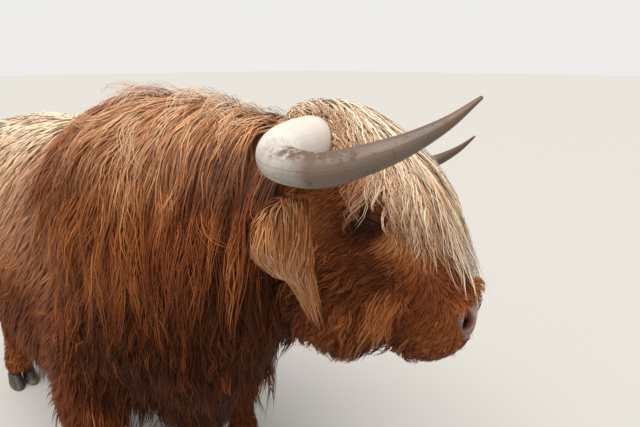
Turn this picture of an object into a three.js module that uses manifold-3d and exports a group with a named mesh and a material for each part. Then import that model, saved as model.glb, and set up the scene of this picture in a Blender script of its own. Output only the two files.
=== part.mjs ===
// A highland bull: the whole animal at life size, standing square on level ground with its
// neck bent to its left and its nose dropped. Every size reaches out to the tips of the coat.
//
// Millimetres. +Z is up, +X the way the body faces, +Y the animal's left, and the soles rest on
// Z = 0. The model is laid out with X = 0 under the withers, and its origin is moved at the end
// to the middle of the footprint of its box.
//
// The flesh and coat are one smooth form made of runs and masses, which is parted by thin
// cuts into trunk, neck, head, muzzle and legs. Horns, ears, eyes, tail and claws are fitted to it.
import * as THREE from 'three';
import { mergeVertices } from 'three/addons/utils/BufferGeometryUtils.js';
import Module from 'manifold-3d';

const wasm = await Module();
wasm.setup();

// ---------------------------------------------------------------- driving dimensions

const GAP = 0.5; // clear space at every cut and seat
const SIDES = { left: 1, right: -1 };

// Heights over the floor, at the tips of the coat.
const WITHERS = 1292;
const BACK = 1238;
const LOIN = 1214;
const HOOKS = 1206;
const TAIL_HEAD = 1190;
const GIRTH_CLEARANCE = 408;
const BELLY_CLEARANCE = 385;
const FLANK_CLEARANCE = 470;

// Distances along the body from the withers, positive forward.
const BREAST_X = 240;
const GIRTH_X = -250;
const BELLY_X = -520;
const LOIN_X = -770;
const HOOKS_X = -960;
const PINS_X = -1170;

// Half-widths.
const SHOULDER_HALF = 275;
const GIRTH_HALF = 318;
const BELLY_HALF = 334;
const HOOKS_HALF = 262;
const PINS_HALF = 180;

// The head's place: its poll, how far it turns left, leans to its left, and drops its nose.
const POLL = new THREE.Vector3(488, 143, 1313);
const HEAD_TURN = THREE.MathUtils.degToRad(27.3);
const HEAD_LEAN = THREE.MathUtils.degToRad(11);
const NOSE_DROP = THREE.MathUtils.degToRad(51.7);
const MUZZLE_FROM_POLL = 440; // where the muzzle is parted from the head

const EYE_RADIUS = 19;
const EYE_AT = [262, -46, 104]; // down the face, off it, and out to the side

const FORE_LEG = { x: -72, y: 240, step: 28, toe: 22 }; // the left foot is ahead by twice step
const HIND_LEG = { x: -1050, y: 196, step: 36, toe: 0 };
const SWITCH_TOP = 600; // height where the long hair of the tail begins
const CORONET = 62; // height of the top of the claws
const CLAW = { length: 122, width: 54, toeSlope: 0.72, cleft: 5 };

// Cell sizes of the nets that turn the smooth form into facets.
const CELL = { trunk: 86, neck: 65, head: 43, muzzle: 23, leg: 51, ear: 33 };

const COAT = { color: '#8c4a26', roughness: 0.85, metalness: 0 };
const DARK_COAT = { color: '#5e2c18', roughness: 0.85, metalness: 0 };
const MANE = { color: '#a8612f', roughness: 0.8, metalness: 0 };
const HORN = { color: '#b9a68f', roughness: 0.45, metalness: 0 };
const HOOF = { color: '#2b2421', roughness: 0.55, metalness: 0 };
const EYE = { color: '#120c09', roughness: 0.08, metalness: 0 };

// ---------------------------------------------------------------- axes

const v = (x, y, z) => new THREE.Vector3(x, y, z);
const UP = v(0, 0, 1);
const LEFT = v(0, 1, 0);

// The head's own axes: down the face to the nose, off the face, and to the animal's left.
const headLevel = v(Math.cos(HEAD_TURN), Math.sin(HEAD_TURN), 0);
const headLeft = LEFT.clone().applyAxisAngle(UP, HEAD_TURN).applyAxisAngle(headLevel, -HEAD_LEAN);
const headCrown = headLevel.clone().cross(headLeft);
const downFace = headLevel.clone().applyAxisAngle(headLeft, NOSE_DROP);
const offFace = headCrown.clone().applyAxisAngle(headLeft, NOSE_DROP);

/** A point given down the face from the poll, off the face, and to the left. */
function onHead(down, off, left) {
  return POLL.clone()
    .addScaledVector(downFace, down)
    .addScaledVector(offFace, off)
    .addScaledVector(headLeft, left);
}

// ---------------------------------------------------------------- smooth forms

// A form is a function of a point: under zero inside, over zero outside, about in millimetres.

/**
 * An oval run along a smooth line. Each station has a place and its reach up, down and to the side.
 * The run is rounded off past its ends, at most as far as cap.
 */
function run(stations, lateral, squareness = 2.2, cap = Infinity, stepsBetween = 4) {
  const line = new THREE.CatmullRomCurve3(stations.map((s) => s.at), false, 'catmullrom');
  const reach = new THREE.CatmullRomCurve3(
    stations.map((s) => v(s.up, s.down, s.side)), false, 'catmullrom');
  const count = (stations.length - 1) * stepsBetween;
  const rings = [];
  for (let i = 0; i <= count; i++) {
    const t = i / count;
    const along = line.getTangent(t);
    const side = lateral(t).clone().addScaledVector(along, -lateral(t).dot(along)).normalize();
    rings.push({ at: line.getPoint(t), reach: reach.getPoint(t), side });
  }
  return (p) => {
    let nearest = null;
    for (let i = 0; i < count; i++) {
      const [a, b] = [rings[i], rings[i + 1]];
      const along = b.at.clone().sub(a.at);
      const free = p.clone().sub(a.at).dot(along) / along.lengthSq();
      const t = THREE.MathUtils.clamp(free, 0, 1);
      const off = p.clone().sub(a.at).addScaledVector(along, -t);
      const far = off.lengthSq();
      if (!nearest || far < nearest.far) nearest = { far, off, t, a, b, along };
    }
    const { off, t, a, b, along } = nearest;
    const forward = along.normalize();
    const side = a.side.clone().lerp(b.side, t).normalize();
    const up = forward.clone().cross(side);
    const size = a.reach.clone().lerp(b.reach, t);
    const high = off.dot(up);
    const wide = Math.abs(off.dot(side)) / size.z;
    const tall = Math.abs(high) / (high > 0 ? size.x : size.y);
    const past = Math.abs(off.dot(forward)) / Math.min(size.x, size.y, size.z, cap);
    const power = squareness;
    const share = (wide ** power + tall ** power + past ** power) ** (1 / power);
    return share < 1e-6 ? -Math.min(size.x, size.y, size.z) : off.length() * (1 - 1 / share);
  };
}

/** An egg-shaped mass with its reach along three axes. */
function mass(at, reach, axes = [v(1, 0, 0), LEFT, UP]) {
  return (p) => {
    const off = p.clone().sub(at);
    const share = Math.hypot(...axes.map((axis, i) => off.dot(axis) / reach[i]));
    return share < 1e-6 ? -Math.min(...reach) : off.length() * (1 - 1 / share);
  };
}

/** The union of two forms with a soft fillet. */
function melt(a, b, fillet) {
  const h = Math.max(fillet - Math.abs(a - b), 0) / fillet;
  return Math.min(a, b) - h * h * fillet * 0.25;
}

const tilted = (angle) => [v(Math.cos(angle), 0, Math.sin(angle)), LEFT, v(-Math.sin(angle), 0, Math.cos(angle))];
const headAxes = [downFace, headLeft, offFace];

// ---------------------------------------------------------------- the animal's form

const TRUNK_AXIS = 880;
const trunkStation = (x, top, bottom, side) => (
  { at: v(x, 0, TRUNK_AXIS), up: top - TRUNK_AXIS, down: TRUNK_AXIS - bottom, side });
const trunk = run([
  trunkStation(PINS_X, TAIL_HEAD - 25, 700, PINS_HALF),
  trunkStation(HOOKS_X, HOOKS, 620, HOOKS_HALF),
  trunkStation(LOIN_X, LOIN, FLANK_CLEARANCE, 290),
  trunkStation(BELLY_X, LOIN + 8, BELLY_CLEARANCE, BELLY_HALF),
  trunkStation(GIRTH_X, BACK + 14, GIRTH_CLEARANCE, GIRTH_HALF),
  trunkStation(0, WITHERS, 444, SHOULDER_HALF),
  trunkStation(140, WITHERS - 35, 480, 222),
], () => LEFT, 2.3, 95);

// The neck turns smoothly from the body's heading to the head's.
const neck = run([
  { at: v(0, 0, 930), up: 358, down: 400, side: 262 },
  { at: v(160, 8, 935), up: 368, down: 415, side: 232 },
  { at: v(290, 42, 945), up: 366, down: 335, side: 194 },
  { at: v(385, 78, 965), up: 345, down: 235, side: 166 },
  { at: v(460, 112, 990), up: 318, down: 180, side: 150 },
], (t) => LEFT.clone().lerp(headLeft, t).normalize(), 2.15, 40);

const breast = mass(v(BREAST_X - 40, 0, 655), [130, 140, 165]);
const brisket = mass(v(BREAST_X - 135, 0, 540), [150, 150, 198]);
const hump = mass(v(20, 0, 1150), [260, 120, 135]);

function shoulders(p) {
  const q = v(p.x, Math.abs(p.y), p.z);
  return Math.min(
    mass(v(40, 175, 930), [170, 112, 330], tilted(-0.3))(q),
    mass(v(130, 165, 770), [130, 105, 150])(q));
}

function thighs(p) {
  const q = v(p.x, Math.abs(p.y), p.z);
  return Math.min(
    mass(v(-1030, 148, 850), [222, 128, 300])(q),
    mass(v(-1120, 140, 760), [130, 100, 200])(q),
    mass(v(-890, 168, 700), [135, 98, 165])(q));
}

/** The long hair that hangs along each side of the belly. */
function fringe(p) {
  return mass(v(-500, 240, 552), [370, 96, 200])(v(p.x, Math.abs(p.y), p.z));
}

const hookBones = (p) => mass(v(HOOKS_X + 20, HOOKS_HALF - 62, HOOKS - 92), [105, 72, 70])(
  v(p.x, Math.abs(p.y), p.z));

// The sections of the head lie square to the line down the face.
const headStation = (down, top, bottom, side) => {
  const middle = Math.min(-62, (top + bottom) / 2 + 40);
  return { at: onHead(down, middle, 0), up: top - middle, down: middle - bottom, side };
};
const skull = run([
  headStation(0, 22, -190, 128),
  headStation(60, 66, -235, 146),
  headStation(150, 92, -262, 150),
  headStation(240, 106, -268, 140),
  headStation(320, 86, -250, 122),
  headStation(400, 60, -220, 104),
  headStation(470, 34, -196, 92),
], () => headLeft, 2.2, 42);

const muzzle = run([
  { at: onHead(430, -72, 0), up: 118, down: 120, side: 92 },
  { at: onHead(490, -78, 0), up: 102, down: 98, side: 84 },
  { at: onHead(532, -84, 0), up: 74, down: 66, side: 74 },
], () => headLeft, 2.4, 55);

function faceMasses(p) {
  const down = p.clone().sub(POLL).dot(downFace);
  const off = p.clone().sub(POLL).dot(offFace);
  const side = Math.abs(p.clone().sub(POLL).dot(headLeft));
  const q = onHead(down, off, side);
  const nostrilRim = mass(onHead(508, -30, 46), [40, 36, 34], headAxes);
  const noseTip = mass(onHead(488, 2, 0), [28, 46, 30], headAxes);
  const chin = mass(onHead(532, -128, 0), [46, 56, 40], headAxes);
  const cheek = mass(onHead(235, -165, 70), [125, 58, 100], headAxes);
  const brow = mass(onHead(225, -12, 92), [55, 34, 34], headAxes);
  return Math.min(nostrilRim(q), noseTip(q), chin(q), cheek(q), brow(q));
}

// The beard hangs straight down from the jaw, and the throat's coat fills the angle behind it.
const beard = run([
  { at: onHead(230, -170, 0), up: 90, down: 90, side: 105 },
  { at: onHead(350, -205, 0), up: 88, down: 88, side: 98 },
  { at: onHead(430, -250, 0), up: 82, down: 72, side: 84 },
], () => headLeft, 2);
const throat = mass(onHead(325, -285, 0), [112, 92, 84], headAxes);

const limbStation = (dx, z, front, back, side) => ({ dx, z, front, back, side });
const FORE_STATIONS = [
  limbStation(-10, 760, 140, 150, 92),
  limbStation(-4, 620, 152, 176, 100),
  limbStation(0, 490, 142, 166, 98),
  limbStation(0, 370, 106, 134, 86),
  limbStation(-2, 250, 66, 92, 64),
  limbStation(0, 150, 58, 82, 61),
  limbStation(16, 75, 66, 82, 68),
  limbStation(24, 40, 68, 80, 70),
];
const HIND_STATIONS = [
  limbStation(80, 830, 150, 170, 105),
  limbStation(75, 690, 135, 150, 98),
  limbStation(20, 560, 102, 108, 82),
  limbStation(-45, 455, 74, 82, 66),
  limbStation(-52, 340, 54, 68, 53),
  limbStation(-42, 220, 52, 70, 54),
  limbStation(-28, 135, 58, 78, 60),
  limbStation(-8, 75, 66, 80, 68),
  limbStation(0, 40, 68, 80, 70),
];

/** One leg: a run downward, whose up reach is to the front of the leg. */
function limb(stations, leg, sign) {
  const x = leg.x + sign * leg.step;
  return run(
    stations.map((s) => ({ at: v(x + s.dx, sign * leg.y, s.z), up: s.front, down: s.back, side: s.side })),
    () => LEFT.clone().negate(), 2.1, Infinity, 3);
}

const legs = {};
for (const [side, sign] of Object.entries(SIDES)) {
  legs[`fore_leg_${side}`] = { leg: FORE_LEG, sign, form: limb(FORE_STATIONS, FORE_LEG, sign) };
  legs[`hind_leg_${side}`] = { leg: HIND_LEG, sign, form: limb(HIND_STATIONS, HIND_LEG, sign) };
}

/** The whole animal without horns, ears, eyes, tail and claws. */
function animal(p) {
  let form = melt(trunk(p), neck(p), 90);
  form = melt(form, shoulders(p), 70);
  form = melt(form, thighs(p), 80);
  form = melt(form, fringe(p), 90);
  form = melt(form, hookBones(p), 60);
  form = melt(form, hump(p), 90);
  form = melt(form, melt(breast(p), brisket(p), 60), 70);
  if (p.x > 150) {
    let head = melt(skull(p), muzzle(p), 30);
    head = melt(head, faceMasses(p), 28);
    head = melt(head, beard(p), 50);
    head = melt(head, throat(p), 60);
    form = melt(form, head, 45);
  }
  if (p.z < 900) {
    for (const { form: leg } of Object.values(legs)) form = melt(form, leg(p), 60);
  }
  return form;
}

// ---------------------------------------------------------------- from form to facets

/** The closed solid where a form is under zero inside a box, as a net of about square facets. */
function net(form, box, cell) {
  const size = box.getSize(v(0, 0, 0));
  const [nx, ny, nz] = size.toArray().map((length) => Math.ceil(length / cell) + 1);
  const place = (i, j, k) => v(box.min.x + i * cell, box.min.y + j * cell, box.min.z + k * cell);
  const index = (i, j, k) => i + nx * (j + ny * k);
  const value = new Float64Array(nx * ny * nz);
  for (let k = 0; k < nz; k++) {
    for (let j = 0; j < ny; j++) {
      for (let i = 0; i < nx; i++) {
        const border = i * j * k === 0 || i === nx - 1 || j === ny - 1 || k === nz - 1;
        value[index(i, j, k)] = border ? cell : form(place(i, j, k));
      }
    }
  }
  const points = [];
  const cellPoint = new Map();
  const corners = [...Array(8).keys()].map((c) => [c & 1, (c >> 1) & 1, c >> 2]);
  const edges = [];
  for (let a = 0; a < 8; a++) {
    for (const bit of [1, 2, 4]) if (!(a & bit)) edges.push([a, a | bit]);
  }
  for (let k = 0; k < nz - 1; k++) {
    for (let j = 0; j < ny - 1; j++) {
      for (let i = 0; i < nx - 1; i++) {
        const at = corners.map(([a, b, c]) => value[index(i + a, j + b, k + c)]);
        const middle = v(0, 0, 0);
        let crossings = 0;
        for (const [a, b] of edges) {
          if (at[a] < 0 === at[b] < 0) continue;
          const t = at[a] / (at[a] - at[b]);
          middle.add(v(...corners[a]).lerp(v(...corners[b]), t));
          crossings++;
        }
        if (!crossings) continue;
        cellPoint.set(index(i, j, k), points.length);
        points.push(middle.multiplyScalar(cell / crossings).add(place(i, j, k)));
      }
    }
  }
  const quads = [];
  const strides = [1, nx, nx * ny];
  strides.forEach((stride, axis) => {
    const across = strides[(axis + 1) % 3];
    const over = strides[(axis + 2) % 3];
    const first = [1, 1, 1];
    first[axis] = 0;
    for (let k = first[2]; k < nz - 1; k++) {
      for (let j = first[1]; j < ny - 1; j++) {
        for (let i = first[0]; i < nx - 1; i++) {
          const here = index(i, j, k);
          const inside = value[here] < 0;
          if (inside === value[here + stride] < 0) continue;
          const ring = [here, here - across, here - across - over, here - over].map((n) => cellPoint.get(n));
          quads.push(inside ? ring : ring.reverse());
        }
      }
    }
  });
  settle(points, quads, form, cell);
  const triangles = quads.flatMap(([a, b, c, d]) => (
    points[a].distanceTo(points[c]) < points[b].distanceTo(points[d])
      ? [a, b, c, a, c, d] : [b, c, d, b, d, a]));
  return solid(points.flatMap((p) => p.toArray()), triangles);
}

/** Evens out the net and lays its points on the form's surface. */
function settle(points, quads, form, cell, rounds = 3) {
  for (let round = 0; round < rounds; round++) {
    const sum = points.map(() => v(0, 0, 0));
    const count = new Float64Array(points.length);
    for (const quad of quads) {
      quad.forEach((a, n) => {
        sum[a].add(points[quad[(n + 1) % 4]]).add(points[quad[(n + 3) % 4]]);
        count[a] += 2;
      });
    }
    points.forEach((p, n) => {
      p.lerp(sum[n].divideScalar(count[n]), 0.5);
      for (let pull = 0; pull < 3; pull++) {
        const here = form(p);
        const slope = v(
          form(v(p.x + 1, p.y, p.z)) - here,
          form(v(p.x, p.y + 1, p.z)) - here,
          form(v(p.x, p.y, p.z + 1)) - here);
        const move = slope.multiplyScalar(-here / Math.max(slope.lengthSq(), 0.05));
        p.add(move.clampLength(0, cell * 0.4));
      }
    });
  }
}

/** A manifold solid from a list of coordinates and a list of triangle corners. */
function solid(coordinates, triangles) {
  return new wasm.Manifold(new wasm.Mesh({
    numProp: 3,
    vertProperties: Float32Array.from(coordinates),
    triVerts: Uint32Array.from(triangles),
  }));
}

/** A manifold solid from a closed three.js geometry. */
function solidOf(geometry) {
  const bare = geometry.clone();
  bare.deleteAttribute('normal');
  bare.deleteAttribute('uv');
  const merged = mergeVertices(bare, 1e-3);
  return solid(merged.attributes.position.array, merged.index.array);
}

/** A skin over rings of points, closed with a fan at each end. */
function loft(rings) {
  const around = rings[0].length;
  const points = rings.flat();
  const triangles = [];
  for (let r = 0; r < rings.length - 1; r++) {
    for (let n = 0; n < around; n++) {
      const a = r * around + n;
      const b = r * around + (n + 1) % around;
      triangles.push(a, b, b + around, a, b + around, a + around);
    }
  }
  for (const [r, flip] of [[0, true], [rings.length - 1, false]]) {
    const centre = rings[r].reduce((sum, p) => sum.add(p), v(0, 0, 0)).divideScalar(around);
    points.push(centre);
    for (let n = 0; n < around; n++) {
      const [a, b] = [r * around + n, r * around + (n + 1) % around];
      triangles.push(...(flip ? [b, a, points.length - 1] : [a, b, points.length - 1]));
    }
  }
  return solid(points.flatMap((p) => p.toArray()), triangles);
}

/** A round tapering body along a curve, with its radius given at even steps. */
function taper(places, radii, steps, around) {
  const line = new THREE.CatmullRomCurve3(places, false, 'centripetal');
  const size = new THREE.CatmullRomCurve3(radii.map((r, i) => v(i, r, 0)), false, 'catmullrom');
  const frames = line.computeFrenetFrames(steps, false);
  const rings = [];
  for (let i = 0; i <= steps; i++) {
    const at = line.getPointAt(i / steps);
    const radius = size.getPoint(i / steps).y;
    rings.push([...Array(around).keys()].map((n) => {
      const angle = (n / around) * 2 * Math.PI;
      return at.clone()
        .addScaledVector(frames.normals[i], radius * Math.cos(angle))
        .addScaledVector(frames.binormals[i], radius * Math.sin(angle));
    }));
  }
  return loft(rings);
}

/** A three.js geometry from a manifold solid. */
function geometryOf(body) {
  const mesh = body.getMesh();
  const geometry = new THREE.BufferGeometry();
  geometry.setAttribute('position', new THREE.BufferAttribute(mesh.vertProperties, 3));
  geometry.setIndex(new THREE.BufferAttribute(mesh.triVerts, 1));
  return geometry;
}

/** A solid grown outward by a clear gap, to cut what is seated against it. */
function swollen(body, gap = GAP * 1.6) {
  const geometry = geometryOf(body);
  geometry.computeVertexNormals();
  const { position, normal } = geometry.attributes;
  const moved = position.array.map((value, n) => value + gap * normal.array[n]);
  return solid(moved, geometry.index.array);
}

/** The largest piece of a solid, without the crumbs that a cut may leave. */
function largest(body) {
  return body.decompose().reduce((best, piece) => (piece.volume() > best.volume() ? piece : best));
}

/** Everything on the far side of a plane, as one large block. */
function beyond(point, normal, gap = GAP / 2) {
  const size = 4000;
  const block = new THREE.BoxGeometry(size, size, size).translate(0, 0, size / 2 + gap);
  block.applyQuaternion(new THREE.Quaternion().setFromUnitVectors(UP, normal.clone().normalize()));
  block.translate(point.x, point.y, point.z);
  return solidOf(block);
}

// ---------------------------------------------------------------- parting the flesh

const neckCut = { point: v(20, 0, WITHERS), normal: v(0.9, 0, 0.44) };
const headCut = {
  point: onHead(-40, -55, 0),
  normal: downFace.clone().multiplyScalar(0.62).addScaledVector(offFace, 0.784),
};
const muzzleCut = {
  point: onHead(MUZZLE_FROM_POLL, 50, 0),
  normal: downFace.clone().multiplyScalar(0.93).addScaledVector(offFace, 0.37),
};

/** What a cut leaves: in front of it, or behind it. */
const ahead = (cut) => beyond(cut.point, cut.normal);
const behind = (cut) => beyond(cut.point, cut.normal.clone().negate());

// The outline, seen from the side, of what counts as leg, from its hoof to where it leaves the body.
const FORE_CUT = [[-190, -20], [-190, 400], [-130, 500], [-20, 560], [90, 545], [165, 460], [165, -20]];
const HIND_CUT = [[-210, -20], [-210, 560], [-120, 640], [80, 610], [200, 560], [200, -20]];

/** The block that takes one leg off the body, grown by a gap. */
function legBlock(name, gap) {
  const { leg, sign } = legs[name];
  const x = leg.x + sign * leg.step;
  const outline = leg === FORE_LEG ? FORE_CUT : HIND_CUT;
  const middle = 250;
  const shape = new THREE.Shape(outline.map(([dx, z]) => (
    new THREE.Vector2(x + dx + Math.sign(dx) * gap, z + (z > 0 ? gap : 0)))));
  const inner = leg === FORE_LEG ? 104 : 82;
  const depth = middle * 2 - inner + gap;
  const block = new THREE.ExtrudeGeometry(shape, { depth, bevelEnabled: false });
  block.rotateX(Math.PI / 2);
  block.translate(0, sign > 0 ? middle * 2 : depth - middle * 2, 0);
  return solidOf(block);
}

const box = (x0, x1, y0, y1, z0, z1) => new THREE.Box3(v(x0, y0, z0), v(x1, y1, z1));
const HEAD_BOX = box(270, 960, -250, 520, 620, 1480);

const parts = [];
const add = (name, body, finish) => parts.push({ name, body: largest(body), finish });

const trunkBox = box(-1420, 460, -440, 440, 330, 1420);
const neckBox = box(-150, 720, -360, 420, 400, 1440);

let trunkBody = net(animal, trunkBox, CELL.trunk).intersect(behind(neckCut));
for (const name of Object.keys(legs)) trunkBody = trunkBody.subtract(legBlock(name, GAP));
trunkBody = trunkBody.intersect(beyond(v(0, 0, GIRTH_CLEARANCE - 70), UP));
trunkBody = largest(trunkBody);
const neckBody = net(animal, neckBox, CELL.neck).intersect(ahead(neckCut)).intersect(behind(headCut));
add('trunk', trunkBody, COAT);
add('neck', neckBody, MANE);

for (const [name, { leg, sign }] of Object.entries(legs)) {
  const x = leg.x + sign * leg.step;
  const reach = box(x - 320, x + 300, sign * leg.y - 260, sign * leg.y + 260, -60, 780);
  const body = net(animal, reach, CELL.leg)
    .intersect(legBlock(name, 0))
    .intersect(beyond(v(0, 0, CORONET), UP, GAP));
  add(name, body, DARK_COAT);
}

/** The first point of the animal's surface on the line from a point inside it through another. */
function surfaceFrom(inside, through) {
  const step = through.clone().sub(inside).setLength(1);
  const at = inside.clone();
  while (animal(at) < 0) at.add(step);
  return at;
}

// ---------------------------------------------------------------- head, muzzle and eyes

/** A ball for the eye, or for the space around it. */
function ball(at, radius) {
  const sphere = new THREE.SphereGeometry(radius, 12, 8);
  return solidOf(sphere.translate(at.x, at.y, at.z));
}

let headBody = net(animal, HEAD_BOX, CELL.head).intersect(ahead(headCut)).intersect(behind(muzzleCut));
for (const [side, sign] of Object.entries(SIDES)) {
  const at = onHead(EYE_AT[0], EYE_AT[1], sign * EYE_AT[2]);
  const opening = onHead(EYE_AT[0] + 4, EYE_AT[1], sign * (EYE_AT[2] + 22));
  headBody = headBody.subtract(ball(at, EYE_RADIUS + GAP)).subtract(ball(opening, EYE_RADIUS + 7));
  add(`eye_${side}`, ball(at, EYE_RADIUS), EYE);
}
headBody = largest(headBody);
const headSeat = swollen(headBody);
add('head', headBody, MANE);

const muzzleBox = box(560, 960, -60, 460, 660, 1120);
let muzzleBody = net(animal, muzzleBox, CELL.muzzle).intersect(ahead(muzzleCut)).intersect(ahead(headCut));
for (const sign of Object.values(SIDES)) {
  const nostril = new THREE.SphereGeometry(1, 10, 6).scale(19, 10, 9).rotateY(-0.5);
  nostril.applyMatrix4(new THREE.Matrix4().makeBasis(downFace, headLeft, offFace));
  const at = surfaceFrom(onHead(490, -40, sign * 20), onHead(524, -20, sign * 66));
  muzzleBody = muzzleBody.subtract(solidOf(nostril.translate(at.x, at.y, at.z)));
}
add('muzzle', muzzleBody, DARK_COAT);

// ---------------------------------------------------------------- horns

// Each horn leaves the side of the poll, runs out level, then turns forward and up to its tip.
const HORN_PATH = [
  [66, -50, 62], [82, -62, 190], [104, -62, 310], [132, -46, 392], [160, -20, 436],
  [186, 12, 456], [204, 56, 456], [218, 108, 442], [224, 163, 424], [221, 214, 408],
];
const HORN_RADII = [50, 49, 48, 44.5, 39.5, 31, 26, 22, 17, 10, 2.5];

for (const [side, sign] of Object.entries(SIDES)) {
  const path = HORN_PATH.map(([down, off, out]) => onHead(down, off, sign * out));
  add(`horn_${side}`, taper(path, HORN_RADII, 20, 12).subtract(headSeat), HORN);
}

// ---------------------------------------------------------------- ears

// Each ear stands out sideways under the horn and droops, with its coat hanging below it.
for (const [side, sign] of Object.entries(SIDES)) {
  const ear = run([
    { at: onHead(158, -100, sign * 100), up: 36, down: 70, side: 34 },
    { at: onHead(160, -122, sign * 150), up: 46, down: 128, side: 42 },
    { at: onHead(158, -146, sign * 205), up: 46, down: 138, side: 46 },
    { at: onHead(160, -168, sign * 258), up: 38, down: 92, side: 38 },
    { at: onHead(166, -184, sign * 296), up: 18, down: 34, side: 18 },
  ], () => headLevel.clone().multiplyScalar(-sign), 2, 24);
  const centre = onHead(190, -170, sign * 200);
  const reach = new THREE.Box3().setFromCenterAndSize(centre, v(480, 480, 520));
  add(`ear_${side}`, net(ear, reach, CELL.ear).subtract(headSeat).subtract(swollen(neckBody)), MANE);
}

// ---------------------------------------------------------------- tail

// The tail hangs down behind, and its lower part is a switch of long hair.
const TAIL_PATH = [
  v(-1150, 0, 1118), v(-1236, 0, 1110), v(-1288, 0, 1030), v(-1300, 0, 900),
  v(-1302, 0, 740), v(-1302, 0, 590), v(-1302, 0, 470), v(-1298, 0, 340), v(-1290, 0, 215)];
const TAIL_RADII = [42, 36, 31, 29, 28, 32, 52, 58, 12];
const switchCut = { point: v(0, 0, SWITCH_TOP), normal: UP };
const wholeTail = taper(TAIL_PATH, TAIL_RADII, 22, 10).subtract(swollen(trunkBody));
add('tail', wholeTail.intersect(ahead(switchCut)), COAT);
add('tail_switch', wholeTail.intersect(behind(switchCut)), MANE);

// ---------------------------------------------------------------- claws

/** The outline of one claw at a height: straight inside, bowed outside, rounded at the toe. */
function clawRing(height, sign, foot) {
  const rise = height / CORONET;
  const back = -CLAW.length * 0.44 + 6 * rise;
  const front = CLAW.length * 0.56 - CORONET * CLAW.toeSlope * rise;
  const width = CLAW.width * (1 - 0.1 * rise);
  return [...Array(12).keys()].map((n) => {
    const angle = (n / 12) * 2 * Math.PI;
    const along = Math.sign(Math.cos(angle)) * Math.abs(Math.cos(angle)) ** 0.85;
    const across = Math.sign(Math.sin(angle)) * Math.abs(Math.sin(angle)) ** 0.8;
    const toeward = Math.max(along, 0);
    const x = back + (front - back) * (along + 1) / 2;
    const y = width * (across + 1) / 2 - toeward * toeward * across * width * 0.12;
    return v(foot.x + x, foot.y + sign * (CLAW.cleft / 2 + y), height);
  });
}

for (const [legName, { leg, sign }] of Object.entries(legs)) {
  const foot = v(leg.x + sign * leg.step + leg.toe, sign * leg.y, 0);
  for (const [place, towards] of [['outer', sign], ['inner', -sign]]) {
    const rings = [0, CORONET / 2, CORONET].map((height) => clawRing(height, towards, foot));
    if (towards < 0) rings.forEach((ring) => ring.reverse());
    add(`${legName.replace('leg', 'claw')}_${place}`, loft(rings), HOOF);
  }
}

// ---------------------------------------------------------------- the finished group

const highlandBull = new THREE.Group();
for (const { name, body, finish } of parts) {
  const mesh = new THREE.Mesh(geometryOf(body), new THREE.MeshStandardMaterial(finish));
  mesh.name = name;
  highlandBull.add(mesh);
}
const extent = new THREE.Box3().setFromObject(highlandBull);
const footprint = extent.getCenter(v(0, 0, 0));
highlandBull.position.set(-footprint.x, -footprint.y, 0);
highlandBull.updateMatrixWorld(true);

export default highlandBull;
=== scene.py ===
"""A highland bull at life size, standing still: one skin under a coat of tufts and locks,
with horns, claws and eyes of their own."""

from functools import lru_cache

import bmesh
import bpy
import numpy as np
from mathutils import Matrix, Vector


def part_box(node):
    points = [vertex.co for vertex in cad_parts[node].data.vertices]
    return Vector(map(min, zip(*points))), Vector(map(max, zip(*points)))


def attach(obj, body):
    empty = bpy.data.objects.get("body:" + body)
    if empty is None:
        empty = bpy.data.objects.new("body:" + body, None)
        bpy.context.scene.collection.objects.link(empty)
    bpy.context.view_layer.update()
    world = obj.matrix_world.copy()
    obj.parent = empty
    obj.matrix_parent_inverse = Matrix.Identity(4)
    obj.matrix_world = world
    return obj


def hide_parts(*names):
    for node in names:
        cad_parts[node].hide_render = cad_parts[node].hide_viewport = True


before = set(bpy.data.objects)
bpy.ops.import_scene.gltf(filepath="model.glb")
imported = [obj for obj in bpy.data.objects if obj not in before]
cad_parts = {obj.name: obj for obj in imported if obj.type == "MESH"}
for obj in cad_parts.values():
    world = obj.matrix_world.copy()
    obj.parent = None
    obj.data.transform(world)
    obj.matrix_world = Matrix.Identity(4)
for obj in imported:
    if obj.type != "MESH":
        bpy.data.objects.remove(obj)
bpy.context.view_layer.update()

import openvdb
from mathutils import Vector
from mathutils.bvhtree import BVHTree

bl_info = {
    "name": "Highland Bull",
    "version": (1, 0, 0),
    "blender": (4, 5, 0),
    "location": "View3D > Sidebar > Highland Bull",
    "description": "Builds a standing highland bull with its skin, coat, horns, claws and eyes",
    "category": "Object",
}

SIDES = {"left": 1, "right": -1}
FLESH = [
    name
    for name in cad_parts
    if not name.startswith(("eye", "horn", "fore_claw", "hind_claw"))
]
CLAWS = [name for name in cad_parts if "_claw_" in name]

# ---------------------------------------------------------------- the head's own axes

DOWN_FACE = np.array((0.6196, 0.1520, -0.7701))  # from the poll towards the nose
FALL = np.array((0.0, 0.0, -1.0))  # the way that hair hangs
EYE_DOWN, EYE_OFF = 0.262, -0.046  # the eyes' place from the poll, down the face and off it
EYE_RADIUS = 0.019  # of the eyeball


def unit(vectors):
    """The vectors at length 1."""
    return vectors / np.maximum(np.linalg.norm(vectors, axis=-1, keepdims=True), 1e-9)


def middle(node):
    """The middle of a node's box."""
    low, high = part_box(node)
    return np.array((low + high) / 2)


def dot(a, b):
    """The dot product of each pair of rows."""
    return (a * b).sum(axis=-1)


def ease(value, start, end):
    """0 up to start, 1 from end on, and a smooth rise between."""
    t = np.clip((value - start) / (end - start), 0, 1)
    return t * t * (3 - 2 * t)


def near(value, centre, reach):
    """1 at the centre, falling smoothly to nothing a couple of reaches away."""
    return np.exp(-(((value - centre) / reach) ** 2))


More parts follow.
